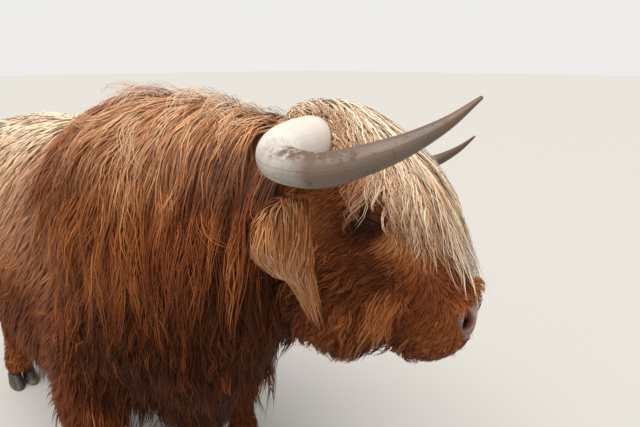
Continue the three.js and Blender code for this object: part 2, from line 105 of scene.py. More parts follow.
EYES = {side: middle(f"eye_{side}") for side in SIDES}
HEAD_LEFT = unit(EYES["left"] - EYES["right"])
DOWN_FACE = unit(DOWN_FACE - HEAD_LEFT * dot(DOWN_FACE, HEAD_LEFT))
OFF_FACE = unit(np.cross(DOWN_FACE, HEAD_LEFT))
HEAD_AXES = np.array((DOWN_FACE, OFF_FACE, HEAD_LEFT))
POLL = (EYES["left"] + EYES["right"]) / 2 - DOWN_FACE * EYE_DOWN - OFF_FACE * EYE_OFF


def on_head(points):
    """Down the face from the poll, off the face, and to the animal's left."""
    return (points - POLL) @ HEAD_AXES.T


def from_head(points):
    """The places of points given on the head's axes."""
    return POLL + np.asarray(points) @ HEAD_AXES


def eye_gap(points):
    """How far each point is from the nearer eye."""
    return np.min([np.linalg.norm(points - eye, axis=1) for eye in EYES.values()], axis=0)


# ---------------------------------------------------------------- settings


def length(name, text, value, low=0.0, high=1.0):
    return bpy.props.FloatProperty(
        name=name, description=text, default=value, min=low, max=high,
        subtype="DISTANCE", unit="LENGTH",
    )


def factor(name, text, value, low=0.0, high=1.0):
    return bpy.props.FloatProperty(
        name=name, description=text, default=value, min=low, max=high, subtype="FACTOR"
    )


def colour(name, text, value):
    return bpy.props.FloatVectorProperty(
        name=name, description=text, default=value, size=3, min=0.0, max=1.0, subtype="COLOR"
    )


class CoatSettings(bpy.types.PropertyGroup):
    """The hair's colours and lengths."""

    shadow: colour("Shadow", "Hair of the chest, the belly and the cheek", (0.027, 0.0070, 0.0028))
    auburn: colour("Auburn", "Hair of the shoulder and the legs", (0.155, 0.040, 0.0125))
    ginger: colour("Ginger", "Hair of the flank and the ear", (0.370, 0.126, 0.040))
    golden: colour("Golden", "Sunlit hair of the mane", (0.610, 0.335, 0.170))
    cream: colour("Cream", "Palest hair, of the forelock and the back", (0.870, 0.740, 0.575))
    ash: colour("Ash", "Grey hair at the ends of the forelock", (0.600, 0.520, 0.410))
    body_length: length("Body hair", "Length of the hair on the trunk", 0.085)
    mane_length: length("Mane", "Length of the locks on the neck", 0.330)
    forelock_length: length("Forelock", "Length of the locks over the face", 0.400)
    leg_length: length("Leg hair", "Length of the hair on the legs", 0.050)
    seed: bpy.props.IntProperty(name="Seed", description="Start of the random draws", default=7)


class HornSettings(bpy.types.PropertyGroup):
    """The horns' colours and rings."""

    pale: colour("Pale", "Horn near the head", (0.64, 0.595, 0.545))
    stained: colour("Stained", "Weathered horn along the middle", (0.150, 0.106, 0.080))
    tip: colour("Tip", "Horn at the point", (0.150, 0.078, 0.048))
    dirt: colour("Dirt", "Dried mud on top", (0.115, 0.070, 0.042))
    ring_height: length("Ring height", "How far a growth ring stands out", 0.0011, 0.0, 0.01)


class FootSettings(bpy.types.PropertyGroup):
    """The claws' colours."""

    wall: colour("Wall", "Horn of the claw", (0.050, 0.040, 0.034))
    worn: colour("Worn", "Scuffed horn near the ground", (0.20, 0.145, 0.10))


class FaceSettings(bpy.types.PropertyGroup):
    """Bare skin and eyes."""

    nose: colour("Nose", "Bare skin of the nose", (0.260, 0.165, 0.130))
    flesh: colour("Flesh", "Damp skin at the mouth of the nostril", (0.170, 0.075, 0.068))
    # Painted shade: the near-black colour deep in each nostril.
    nostril: colour("Nostril", "Inside of the nostril", (0.020, 0.010, 0.009))
    lid: colour("Lid", "Bare rim of the eyelids", (0.045, 0.026, 0.020))
    iris: colour("Iris", "Iris of the eye", (0.060, 0.026, 0.012))


class StageSettings(bpy.types.PropertyGroup):
    """Floor, light and camera."""

    floor: colour("Floor", "Floor colour", (0.42, 0.413, 0.40))
    sky: factor("Sky", "Strength of the light from all round", 0.42, 0.0, 4.0)
    sun: factor("Sun", "Strength of the soft light from above", 5.2, 0.0, 10.0)
    lens: bpy.props.FloatProperty(
        name="Lens", description="Focal length", default=28.1, min=5.0, unit="CAMERA"
    )


SETTINGS = {
    "bull_coat": CoatSettings,
    "bull_horns": HornSettings,
    "bull_feet": FootSettings,
    "bull_face": FaceSettings,
    "bull_stage": StageSettings,
}


def settings(name):
    """The values set for this group of pieces."""
    return getattr(bpy.context.scene, f"bull_{name}")


# ---------------------------------------------------------------- values over space


class Field:
    """Values on an even grid, read between its points."""

    def __init__(self, values, low, cell):
        self.values = values if values.ndim == 4 else values[..., None]
        self.low = np.asarray(low, dtype=float)
        self.cell = cell

    def read(self, points):
        size = np.array(self.values.shape[:3])
        place = np.clip((points - self.low) / self.cell, 0, size - 1.001)
        corner = place.astype(int)
        part = place - corner
        flat = self.values.reshape(-1, self.values.shape[3])
        total = 0
        for step in np.ndindex(2, 2, 2):
            share = np.prod(np.where(step, part, 1 - part), axis=-1)
            i, j, k = (corner + step).T
            total = total + flat[(i * size[1] + j) * size[2] + k] * share[:, None]
        return total

    def at(self, points):
        shape = points.shape[:-1]
        values = self.read(points.reshape(-1, 3))
        return values.reshape(shape if values.shape[1] == 1 else (*shape, -1))

    def slope(self, points):
        """The unit direction in which the value rises fastest."""
        reach = self.cell * 0.8
        sides = [
            self.at(points + reach * axis) - self.at(points - reach * axis) for axis in np.eye(3)
        ]
        return unit(np.stack(sides, axis=-1))


def blurred(values, rounds):
    """The values, smoothed along each axis by a small bell, as many times as rounds says."""
    for _ in range(rounds):
        for axis in range(3):
            ahead = np.roll(values, -1, axis)
            behind = np.roll(values, 1, axis)
            values = values * 0.5 + (ahead + behind) * 0.25
    return values


def triangles(names):
    """Points and faces of these nodes, and the place in names of each face's node."""
    points, faces, owners, count = [], [], [], 0
    for index, name in enumerate(names):
        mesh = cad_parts[name].data
        mesh.calc_loop_triangles()
        corners = np.empty(len(mesh.vertices) * 3, np.float32)
        mesh.vertices.foreach_get("co", corners)
        loops = np.empty(len(mesh.loop_triangles) * 3, np.int32)
        mesh.loop_triangles.foreach_get("vertices", loops)
        points.append(corners.reshape(-1, 3))
        faces.append(loops.reshape(-1, 3) + count)
        owners.append(np.full(len(loops) // 3, index))
        count += len(corners) // 3
    return np.concatenate(points), np.concatenate(faces), np.concatenate(owners)


def placed_grid(low, cell):
    """Where a grid of this cell lies, with its first point at low."""
    rows = [[cell, 0, 0, 0], [0, cell, 0, 0], [0, 0, cell, 0], [*map(float, low), 1.0]]
    return openvdb.createLinearTransform(rows)


def distances(points, low, cell, size, outside, inside, **faces):
    """Distance to a closed mesh on a grid, negative inside it."""
    faces = {kind: np.ascontiguousarray(rows, np.uint32) for kind, rows in faces.items()}
    grid = openvdb.FloatGrid.createLevelSetFromPolygons(
        np.ascontiguousarray(points, np.float32), transform=placed_grid(low, cell),
        exBandWidth=outside, inBandWidth=inside, **faces,
    )
    values = np.zeros(size, np.float32)
    grid.copyToArray(values)
    return values


def surface(values, low, cell):
    """The quads where the values cross zero."""
    grid = openvdb.FloatGrid(1.0)
    grid.copyFromArray(np.ascontiguousarray(values, np.float32))
    grid.transform = placed_grid(low, cell)
    points, quads = grid.convertToQuads(0.0)
    return points.astype(float), quads.astype(int)[:, ::-1]


# ---------------------------------------------------------------- the body under the coat

CELL = 0.010  # of the grid that the skin is drawn from
PART_CELL = 0.030  # of the coarser grid that says which part a place is on
MARGIN = 0.14  # of both grids round the body
# How deep the coat lies over the skin on each node.
COAT_DEPTH = {
    "trunk": 0.032, "neck": 0.058, "head": 0.017, "muzzle": 0.007, "tail": 0.013,
    "tail_switch": 0.040, "fore_leg": 0.020, "hind_leg": 0.018, "ear": 0.022,
}
KINDS = list(COAT_DEPTH)
NOSTRIL_AT = np.array((0.527, -0.011, 0.060))  # down the face, off it and to the left
TAIL_ROOT, TAIL_END = 0.018, 0.009  # thickness of the tail's flesh, from its middle
TAIL_FLESH = 0.012  # hair that starts nearer than this to the tail's flesh is the tail's


def bare_nose(points):
    """1 on the bare skin between and round the nostrils, 0 elsewhere."""
    down, off, left = on_head(points).T
    bare = ease(down, 0.494, 0.506) * ease(down, 0.574, 0.562)
    bare = bare * ease(off + 0.25 * (down - 0.53), -0.034, -0.026)
    bare = bare * ease(np.abs(left), 0.090, 0.078)
    return bare * ease(off + 0.8 * (down - 0.53), 0.036, 0.026)


def tail_core(points):
    """Distance to the flesh of the tail under its hair, negative inside it."""
    outline = triangles(["tail", "tail_switch"])[0]
    high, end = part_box("tail")[1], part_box("tail_switch")[0].z
    levels = np.linspace(high.z - 0.11, end + 0.10, 12)
    line = [(high.x + 0.04, middle("tail")[1], high.z - 0.045)]
    line += [outline[np.abs(outline[:, 2] - level) < 0.035].mean(axis=0) for level in levels]
    line = np.array(line)
    radii = np.linspace(TAIL_ROOT, TAIL_END, len(line))
    near_tail = points[:, 0] < high.x + 0.08
    chosen = points[near_tail]
    nearest = np.full(len(chosen), 1.0)
    for start, stop, thick, thin in zip(line, line[1:], radii, radii[1:]):
        run = stop - start
        t = np.clip((chosen - start) @ run / (run @ run), 0, 1)
        gap = np.linalg.norm(chosen - start - t[:, None] * run, axis=1)
        nearest = np.minimum(nearest, gap - thick - t * (thin - thick))
    result = np.full(len(points), 1.0)
    result[near_tail] = nearest
    return result


def kind_of(node):
    """The kind of part a node is, without its side."""
    return node if node in COAT_DEPTH else node.rsplit("_", 1)[0]


class Body:
    """The outline of the coat, the skin under it, and which part of the animal a place is on."""

    def __init__(self):
        points, faces, owners = triangles(FLESH)
        self.low = points.min(axis=0) - MARGIN
        size = np.ceil((points.max(axis=0) + MARGIN - self.low) / CELL).astype(int) + 1
        grid = openvdb.FloatGrid.createLevelSetFromPolygons(
            points, triangles=faces.astype(np.uint32), transform=placed_grid(self.low, CELL),
            halfWidth=3.0,
        )
        shell, quads = grid.convertToQuads(0.0)
        self.outline = Field(
            blurred(distances(shell, self.low, CELL, size, 12.0, 14.0, quads=quads), 3),
            self.low, CELL,
        )
        self.share = self.shares(points, faces, owners, shell)
        places = np.stack(np.indices(size), axis=-1).reshape(-1, 3) * CELL + self.low
        values = self.outline.values[..., 0]
        slope = np.gradient(values, CELL)
        up = slope[2] / np.maximum(np.sqrt(sum(part * part for part in slope)), 1e-6)
        inner = values.ravel() + self.depth(places, up.ravel())
        inner = np.minimum(blurred(inner.reshape(size), 2), tail_core(places).reshape(size))
        self.skin = Field(inner, self.low, CELL)

    def shares(self, points, faces, owners, shell):
        """How much each place belongs to each kind of part."""
        tree = BVHTree.FromPolygons(points.tolist(), faces.tolist())
        kinds = np.array([KINDS.index(kind_of(name)) for name in FLESH])[owners]
        marked = kinds[[tree.find_nearest(point)[2] for point in shell.tolist()]]
        extent = shell.max(axis=0) - shell.min(axis=0) + 2 * MARGIN
        size = np.ceil(extent / PART_CELL).astype(int) + 1
        totals = np.zeros((*size, len(KINDS)), np.float32)
        i, j, k = np.round((shell - self.low) / PART_CELL).astype(int).T
        np.add.at(totals, (i, j, k, marked), 1.0)
        totals = blurred(totals, 3)
        wide = blurred(totals, 9) * 1e-4
        totals = totals + wide + 1e-12
        return Field(totals / totals.sum(axis=-1, keepdims=True), self.low, PART_CELL)

    def depth(self, points, up):
        """Depth of the coat at each place, where up is 1 on a face that looks at the sky."""
        part = dict(zip(KINDS, self.share.at(points).T))
        depth = sum(part[kind] * COAT_DEPTH[kind] for kind in KINDS)
        down, off, _ = on_head(points).T
        height = points[:, 2]
        face = part["head"] + part["muzzle"]
        brow = ease(off, -0.03, 0.05) * ease(down, 0.46, 0.36)
        beard = ease(off, -0.14, -0.22) * ease(down, 0.20, 0.32) * ease(down, 0.56, 0.50)
        depth = depth + face * (0.020 * brow + 0.006 * beard)
        chest = ease(height, 0.85, 0.60) * ease(points[:, 0], 0.05, 0.35)
        depth = depth + 0.006 * chest * (part["trunk"] + part["neck"])
        depth = depth + 0.024 * part["trunk"] * ease(height, 0.62, 0.45)
        depth = depth * (1 - 0.60 * ease(up, 0.30, 0.90) * (part["trunk"] + part["neck"]))
        legs = part["fore_leg"] + part["hind_leg"]
        depth = depth - 0.008 * legs * ease(height, 0.22, 0.08)
        for eye in EYES.values():
            close = near(np.linalg.norm(points - eye, axis=1), 0, 0.050)
            depth = depth * (1 - close) + 0.006 * close
        nose = bare_nose(points)
        depth = depth * (1 - nose) - 0.007 * nose
        return depth

    def head_share(self, points):
        share = self.share.at(points)
        return share[..., KINDS.index("head")] + share[..., KINDS.index("muzzle")]

    def of(self, points, *kinds):
        share = self.share.at(points)
        return sum(share[..., KINDS.index(kind)] for kind in kinds)


@lru_cache(maxsize=None)
def body():
    """The body, worked out once."""
    return Body()


def largest_part(points, quads):
    """The biggest connected piece of a mesh."""
    label = np.arange(len(points))
    while True:
        lowest = label[quads].min(axis=1)
        fresh = label.copy()
        for column in range(quads.shape[1]):
            np.minimum.at(fresh, quads[:, column], lowest)
        fresh = fresh[fresh]
        if (fresh == label).all():
            break
        label = fresh
    names, counts = np.unique(label[quads[:, 0]], return_counts=True)
    quads = quads[label[quads[:, 0]] == names[counts.argmax()]]
    used, quads = np.unique(quads, return_inverse=True)
    return points[used], quads.reshape(-1, 4)


def relaxed(points, edges, rounds, amount):
    """Points moved towards the mean of their neighbours."""
    count = np.bincount(edges.ravel(), minlength=len(points))[:, None]
    for _ in range(rounds):
        total = np.zeros_like(points)
        for a, b in ((0, 1), (1, 0)):
            for axis in range(3):
                total[:, axis] += np.bincount(
                    edges[:, a], points[edges[:, b], axis], minlength=len(points)
                )
        points = points + (total / np.maximum(count, 1) - points) * amount
    return points


def edges_of(faces):
    """Each edge of the faces once, as a pair of points."""
    columns = range(faces.shape[1])
    pairs = np.concatenate([np.stack([faces[:, i], faces[:, i - 1]], axis=1) for i in columns])
    return np.unique(np.sort(pairs, axis=1), axis=0)


# ---------------------------------------------------------------- marks of skin and coat

# The coat's own tone on each node, from 0, dark auburn, to 1, cream.
TONES = {
    "trunk": 0.29, "neck": 0.30, "head": 0.15, "muzzle": 0.34, "tail": 0.40,
    "tail_switch": 0.52, "fore_leg": 0.22, "hind_leg": 0.24, "ear": 0.63,
}


def wavy(points, scale, seed):
    """Smooth noise between -1 and 1, made of a few crossed waves."""
    rng = np.random.default_rng(seed)
    total = 0
    for turn in range(5):
        way = unit(rng.normal(size=3)) * scale * (0.7 + 0.5 * turn)
        total = total + np.sin(points @ way + rng.uniform(0, 2 * np.pi)) / (1 + 0.4 * turn)
    return total / 2.6


def faces_sky(up):
    """How far each place looks up at the sky, where the coat is bleached."""
    return ease(up[:, 2], 0.05, 1.0)


def marks(points, up):
    """The tone of the coat, 0 dark to 1 cream, where the skin faces along up; with painted shade and
    light in places.
    """
    part = dict(zip(KINDS, body().share.at(points).T))
    tone = sum(part[kind] * TONES[kind] for kind in KINDS)
    x, _, z = points.T
    down, off, _ = on_head(points).T
    top = faces_sky(up)
    trunk, neck, face = part["trunk"], part["neck"], part["head"] + part["muzzle"]
    tone = tone + 0.34 * trunk * top * ease(x, 0.25, -0.15)
    tone = tone + 0.24 * trunk * ease(x, 0.05, -0.22) * ease(z, 0.60, 0.95)
    # Paler up the neck and darker low on the neck and the trunk: partly the coat's own colour,
    # partly painted shade low down.
    tone = tone + 0.34 * neck * ease(z, 1.02, 1.28)
    tone = tone - 0.12 * trunk * ease(z, 0.95, 0.70)
    tone = tone - 0.23 * neck * ease(z, 1.10, 0.88)
    # Darker on the lower chest: partly the coat's own colour, partly painted shade under the body.
    chest = ease(z, 0.90, 0.70) * ease(x, 0.14, 0.32)
    tone = tone - 0.46 * (trunk + neck) * chest
    # Darker on the neck behind the ear: partly the coat's own colour, partly painted shadow of the
    # ear and the horn.
    tone = tone - 0.50 * neck * ease(x, 0.45, 0.56) * ease(z, 1.22, 1.08)
    # Painted shade in the hollow of the armpit.
    pit = near(x, 0.38, 0.10) * near(z, 0.68, 0.09)
    tone = tone - 0.20 * (trunk + neck) * pit
    # Painted light along the ridge of the fold at the elbow.
    fold = near(x - 0.565 * (0.75 - z), 0.20, 0.030) * ease(z, 0.48, 0.54) * ease(z, 0.82, 0.76)
    tone = tone + 0.16 * trunk * fold
    crown = ease(off, -0.09, 0.0) * ease(down, 0.46, 0.30)
    crown = np.maximum(crown, ease(off, -0.18, -0.10) * ease(down, 0.08, 0.0))
    tone = tone + 0.55 * face * crown
    # Painted shade round each eye, under the brow and the forelock.
    for eye in EYES.values():
        gap = np.linalg.norm(points - eye, axis=1)
        tone = tone - 0.55 * face * near(gap, 0, 0.034)
    cheek_spot = near(down, 0.318, 0.020) * near(off, -0.045, 0.014)
    tone = tone + 0.16 * face * cheek_spot
    tone = tone + 0.10 * face * ease(off, -0.15, -0.22) * near(down, 0.40, 0.06)
    return np.clip(tone + 0.040 * wavy(points, 13.0, 3) + 0.030 * wavy(points, 42.0, 4), 0.0, 1.0)


def greyed(points, up):
    """How far the hair of the back and the flank is bleached to grey."""
    trunk = body().of(points, "trunk")
    flank = 0.16 * ease(points[:, 0], 0.20, -0.10) * ease(points[:, 2], 0.75, 1.0)
    return trunk * (flank + 0.34 * faces_sky(up))


# ---------------------------------------------------------------- the skin

REFINED = 2  # how often the faces of the muzzle and round the eyes are halved
EYE_REACH = 0.060  # from an eye, where they are halved as on the muzzle
FINE_REACH = 0.040  # from an eye, where they are halved once more


def open_mesh(name):
    """A new object in the scene, and its empty mesh."""
    mesh = bpy.data.meshes.new(name)
    piece = bpy.data.objects.new(name, mesh)
    bpy.context.scene.collection.objects.link(piece)
    return piece, mesh


def put_attribute(mesh, name, values):
    """Stores one number for each point, for the materials to read."""
    made = mesh.attributes.new(name, "FLOAT", "POINT")
    made.data.foreach_set("value", np.ascontiguousarray(values, np.float32))


def mesh_points(mesh):
    points = np.empty(len(mesh.vertices) * 3, np.float32)
    mesh.vertices.foreach_get("co", points)
    return points.reshape(-1, 3).astype(float)


def mesh_normals(mesh):
    normals = np.empty(len(mesh.vertices) * 3, np.float32)
    mesh.vertex_normals.foreach_get("vector", normals)
    return normals.reshape(-1, 3).astype(float)


def refine(mesh, chosen):
    """Halves the edges of the faces whose middle is chosen."""
    work = bmesh.new()
    work.from_mesh(mesh)
    centres = np.array([face.calc_center_median() for face in work.faces])
    flags = chosen(centres)
    faces = [face for face, flag in zip(work.faces, flags) if flag]
    edges = list({edge for face in faces for edge in face.edges})
    bmesh.ops.subdivide_edges(work, edges=edges, cuts=1, use_grid_fill=True)
    work.to_mesh(mesh)
    work.free()


def eye_axes(sign):
    """Out of the eye, along its slit towards the nose, and up over it."""
    out = unit(HEAD_LEFT * sign * 0.95 + OFF_FACE * 0.16 + DOWN_FACE * 0.12)
    along = DOWN_FACE * 0.84 + OFF_FACE * 0.50
    along = unit(along - out * dot(along, out))
    return out, along, np.cross(along, out) * sign


LID_RADIUS = EYE_RADIUS + 0.0022
SLIT_LONG, SLIT_HIGH = 0.0180, 0.0046  # half the length and height of the gap between the lids
SLIT_DROP = 0.0035  # of the slit below the middle of the eye


def lids(points):
    """Draws the skin over each eyeball as two lids. Also returns how near points are to a slit."""
    rim = np.zeros(len(points))
    for side, sign in SIDES.items():
        out, along, high = eye_axes(sign)
        gap = points - EYES[side]
        t, u, v = gap @ out, gap @ along, gap @ high
        reach = np.hypot(u, v)
        near_eye = (np.abs(t) < 0.05) & (reach < 0.07)
        dome = np.sqrt(np.maximum(LID_RADIUS**2 - reach**2, 0))
        socket = LID_RADIUS * 0.72 * near(reach, 0, 0.027)
        brow = 0.007 * near(v, 0.026, 0.010) * near(u, 0.0, 0.030)
        crease = 0.0016 * near(v - 0.0005 * np.abs(u) * 40, 0.0135, 0.0020) * near(u, 0, 0.020)
        fold = 0.0012 * near(v, -0.0125, 0.0022) * near(u, 0, 0.018)
        cover = np.maximum(dome, socket) + brow - crease - fold
        high_half = SLIT_HIGH * (1 - (u / SLIT_LONG) ** 2)
        beside = np.abs(v + SLIT_DROP) - np.maximum(high_half, 0)
        inside = ease(beside, 0.0004, -0.0012) * (np.abs(u) < SLIT_LONG)
        ball = np.sqrt(np.maximum(EYE_RADIUS**2 - reach**2, 0)) - 0.005
        cover = cover * (1 - inside) + ball * inside
        share = ease(reach, 0.060, 0.022) * near_eye
        points = points + out * ((cover - t) * share * (cover > t - 0.004 * inside))[:, None]
        at_slit = (np.abs(u) < SLIT_LONG * 1.1) * near_eye
        rim = np.maximum(rim, ease(np.abs(beside), 0.0030, 0.0012) * at_slit)
    return points, rim


def muzzle_shape(points):
    """Opens the nostrils. Returns the points, how bare each is and how deep in a nostril."""
    down, off, left = on_head(points).T
    moved = points.copy()
    deep = np.zeros(len(points))
    slant = unit(np.array((0.92, -0.34, 0.16)))
    across = np.array((0.22, 0.70, -0.62))
    across = unit(across - slant * dot(across, slant))
    outward = np.cross(slant, across)
    for sign in SIDES.values():
        gap = np.stack([down, off, left * sign], axis=1) - NOSTRIL_AT
        u, v, w = gap @ slant, gap @ across, gap @ outward
        wide = 0.0118 * (1 + 16 * u)
        oval = np.sqrt((u / 0.0200) ** 2 + ((v + 5.0 * u * u) / wide) ** 2)
        close = np.abs(w) < 0.045
        pit = ease(oval, 1.10, 0.50) * close
        out = (outward * (1, 1, sign)) @ HEAD_AXES
        moved = moved - out * (0.030 * pit)[:, None]
        lip = near(oval, 1.38, 0.26) * close
        moved = moved + out * (0.0035 * lip)[:, None]
        deep = np.maximum(deep, ease(oval, 1.12, 0.62) * close)
    return moved, bare_nose(points), deep


@lru_cache(maxsize=None)
def skin_mesh():
    """The skin in one piece, with its lids, nostrils and bare nose."""
    shape = body()
    points, quads = surface(shape.skin.values[..., 0], shape.low, CELL)
    points, quads = largest_part(points, quads)
    edges = edges_of(quads)
    points = relaxed(points, edges, 3, 0.5)
    piece, mesh = open_mesh("skin")
    mesh.from_pydata(points.tolist(), [], quads.tolist())

    def face_area(centres):
        down, off, _ = on_head(centres).T
        muzzle = (down > 0.40) & (off > -0.20) & (shape.head_share(centres) > 0.4)
        return muzzle | (eye_gap(centres) < EYE_REACH)

    for _ in range(REFINED):
        refine(mesh, face_area)
    refine(mesh, lambda centres: eye_gap(centres) < FINE_REACH)
    points = mesh_points(mesh)
    pairs = np.empty(len(mesh.edges) * 2, np.int32)
    mesh.edges.foreach_get("vertices", pairs)
    fine = face_area(points)
    smooth = relaxed(points, pairs.reshape(-1, 2), 6, 0.5)
    points = np.where(fine[:, None], smooth, points)
    points, pad, deep = muzzle_shape(points)
    points, rim = lids(points)
    mesh.vertices.foreach_set("co", points.astype(np.float32).ravel())
    mesh.update()
    mesh.shade_smooth()
    put_attribute(mesh, "tone", marks(points, mesh_normals(mesh)))
    put_attribute(mesh, "ash", greyed(points, mesh_normals(mesh)))
    put_attribute(mesh, "pad", pad)
    put_attribute(mesh, "deep", deep)
    put_attribute(mesh, "rim", rim)
    return piece


# ---------------------------------------------------------------- tufts and locks


@lru_cache(maxsize=None)
def skin_faces():
    """Middle, normal and area of the skin's triangles, in an order that keeps neighbours close."""
    mesh = skin_mesh().data
    mesh.calc_loop_triangles()
    points = mesh_points(mesh)
    corners = np.empty(len(mesh.loop_triangles) * 3, np.int32)
    mesh.loop_triangles.foreach_get("vertices", corners)
    corners = corners.reshape(-1, 3)
    a, b, c = points[corners].transpose(1, 0, 2)
    normal = np.cross(b - a, c - a)
    area = np.linalg.norm(normal, axis=1) / 2
    centre = (a + b + c) / 3
    code = np.zeros(len(centre), np.int64)
    steps = ((centre - centre.min(axis=0)) / 0.006).astype(np.int64)
    for bit in range(10):
        for axis in range(3):
            code |= ((steps[:, axis] >> bit) & 1) << (3 * bit + axis)
    order = np.argsort(code, kind="stable")
    return corners[order], points, centre[order], unit(normal)[order], area[order]


def sow(count, density, rng):
    """Roots over the skin, as close together as the density of their place asks."""
    corners, points, centre, normal, area = skin_faces()
    load = np.cumsum(area * np.maximum(density(centre, normal), 0))
    picks = (np.arange(count) + rng.uniform(0, 1, count)) / count * load[-1]
    face = np.minimum(np.searchsorted(load, picks), len(load) - 1)
    r, s = rng.uniform(0, 1, (2, count))
    r, s = np.where(r + s > 1, 1 - r, r), np.where(r + s > 1, 1 - s, s)
    a, b, c = points[corners[face]].transpose(1, 0, 2)
    root = a + (b - a) * r[:, None] + (c - a) * s[:, None]
    shape = body()
    return root, shape.skin.slope(root)


def comb(way, up, points, amount, scale, seed):
    """The way, laid along the skin and turned to one side or the other by a smooth noise."""
    way = way - up * dot(way, up)[:, None] * 0.75
    return unit(way + np.cross(up, way) * (amount * wavy(points, scale, seed))[:, None])


class Tufts:
    """Guide lines of tufts, which leave the skin for their layer of the coat and follow the flow."""

    def __init__(self, root, out, rng, length, steps, flow, layers=(0.2, 1.0), lift=0.35, turn=0.5,
                 hug=0.6, wander=0.12, slack=0.004, loose=0.04, deepest=1.0):
        self.rng, self.root, self.out = rng, root, out
        count = len(root)
        self.loose = (rng.uniform(0, 1, count) < loose)[:, None]
        depth = np.minimum(body().depth(root, out[:, 2]), deepest)
        want = (rng.uniform(*layers, count) * depth)[:, None] + self.loose * 0.020
        slack = slack + self.loose * 0.030
        drift = rng.normal(0, 1, root.shape) * (wander + self.loose * 0.35)
        step = (length / steps)[:, None] * (1 - 0.35 * self.loose)
        lift = lift + self.loose * 0.3
        shape = body()
        place, up = root - out * 0.003, out
        way = unit(flow(root, up, 0.0) * (1 - lift) + up * lift)
        places, ups = [place], [up]
        for index in range(steps):
            s = (index + 0.5) / steps
            height = shape.skin.at(place)[:, None]
            level = want * ease(s, -0.15, 0.40)
            aim = flow(place, up, s) + drift * (0.4 + s)
            into = np.minimum(dot(aim, up), 0)[:, None]
            aim = aim - up * into * ease(height, level + 0.03, level)
            aim = unit(aim) + up * np.clip((level - height) / (2 * step), -0.6, 1.0) * hug
            way = unit(way * (1 - turn) + unit(aim) * turn)
            place = place + way * step
            up = shape.skin.slope(place)
            short = np.maximum(level * 0.35 + 0.001 - shape.skin.at(place)[:, None], 0)
            place = place + up * short
            over = np.maximum(shape.outline.at(place)[:, None] - slack, 0)
            place = place - shape.outline.slope(place) * np.minimum(over, step * 0.8)
            places.append(place)
            ups.append(up)
        self.places, self.ups = np.stack(places, axis=1), np.stack(ups, axis=1)
        self.keep = np.ones(count)

    def cut(self, inside):
        """Ends each tuft where it first comes to a place of which inside says yes."""
        hit = inside(self.places.reshape(-1, 3)).reshape(self.places.shape[:2])
        first = np.where(hit.any(axis=1), hit.argmax(axis=1), hit.shape[1])
        self.keep = np.clip((first - 0.5) / (hit.shape[1] - 1), 0.1, 1)

    def tones(self, own=0.5):
        """The coat's tone along each guide, partly of its root, partly of where it has got to."""
        places, ups = self.places.reshape(-1, 3), self.ups.reshape(-1, 3)
        tone = marks(places, ups).reshape(self.places.shape[:2])
        return tone[:, :1] * own + tone * (1 - own)

    def split(self, each, spread, width, gather=0.6, wave=0.0, turns=1.5, shortest=0.6, roll=0.35,
              taper=0.8):
        """Flat hairs round each guide, that start apart and gather towards the tip."""
        rng = self.rng
        count, rings, _ = self.places.shape
        hairs = count * each
        tuft = np.repeat(np.arange(count), each)
        loose = self.loose[tuft][:, 0]
        s = np.linspace(0, 1, rings)
        extent = rng.uniform(shortest, 1.0, hairs) * self.keep[tuft]
        place = np.clip(s[None] * extent[:, None] * (rings - 1), 0, rings - 1.001)
        index = place.astype(int)
        share = (place - index)[..., None]

        def along(values):
            rows = values[tuft]
            picked = np.take_along_axis(rows, index[..., None], axis=1)
            after = np.take_along_axis(rows, index[..., None] + 1, axis=1)
            return picked * (1 - share) + after * share

        line = along(self.places)
        up = unit(along(self.ups))
        tangent = unit(np.gradient(line, axis=1))
        side = unit(np.cross(tangent, up))
        up = np.cross(side, tangent)
        radius = np.sqrt(rng.uniform(0, 1, hairs)) * spread * (1 + loose)
        angle = rng.uniform(0, 2 * np.pi, hairs)
        wide, high = radius * np.cos(angle), radius * np.sin(angle) * 0.55
        closing = 1 - gather * s[None] ** 1.3
        phase = rng.uniform(0, 2 * np.pi, count)[tuft] + rng.normal(0, 0.4, hairs)
        pitch = rng.uniform(0.75, 1.3, count)[tuft] * turns * 2 * np.pi
        turning = pitch[:, None] * s[None] + phase[:, None]
        swing = wave * s[None] ** 0.7 * np.sin(turning)
        swing_up = wave * s[None] ** 0.7 * np.cos(turning * 0.9) * 0.5
        start = ease(s, 0.0, 0.15)[None]
        line = line + side * (wide[:, None] * closing + swing)[..., None]
        line = line + up * (high[:, None] * closing * start + swing_up)[..., None]
        tilt = np.clip(rng.normal(0, roll, hairs), -1.1, 1.1)[:, None, None]
        flat = side * np.cos(tilt) + up * np.sin(tilt)
        size = rng.uniform(0.7, 1.3, hairs) * np.broadcast_to(width, count)[tuft]
        size = size * (1 - 0.45 * loose)
        profile = (0.55 + 0.45 * ease(s, 0, 0.25)) * (1 - s ** 2.2 * taper)
        half = flat * (size[:, None] * profile[None] / 2)[..., None]
        return Hairs(line, half, tuft, high / spread)


class Hairs:
    """Flat hairs: the middle and the half width of each ring, the tuft and the height in it."""

    def __init__(self, line, half, tuft, rise):
        self.line, self.half, self.tuft, self.rise = line, half, tuft, rise


HAIR_PATCH = 0.003  # the width of each hair's own patch of the map
MAP_EDGE = 0.01  # the empty edge of the map


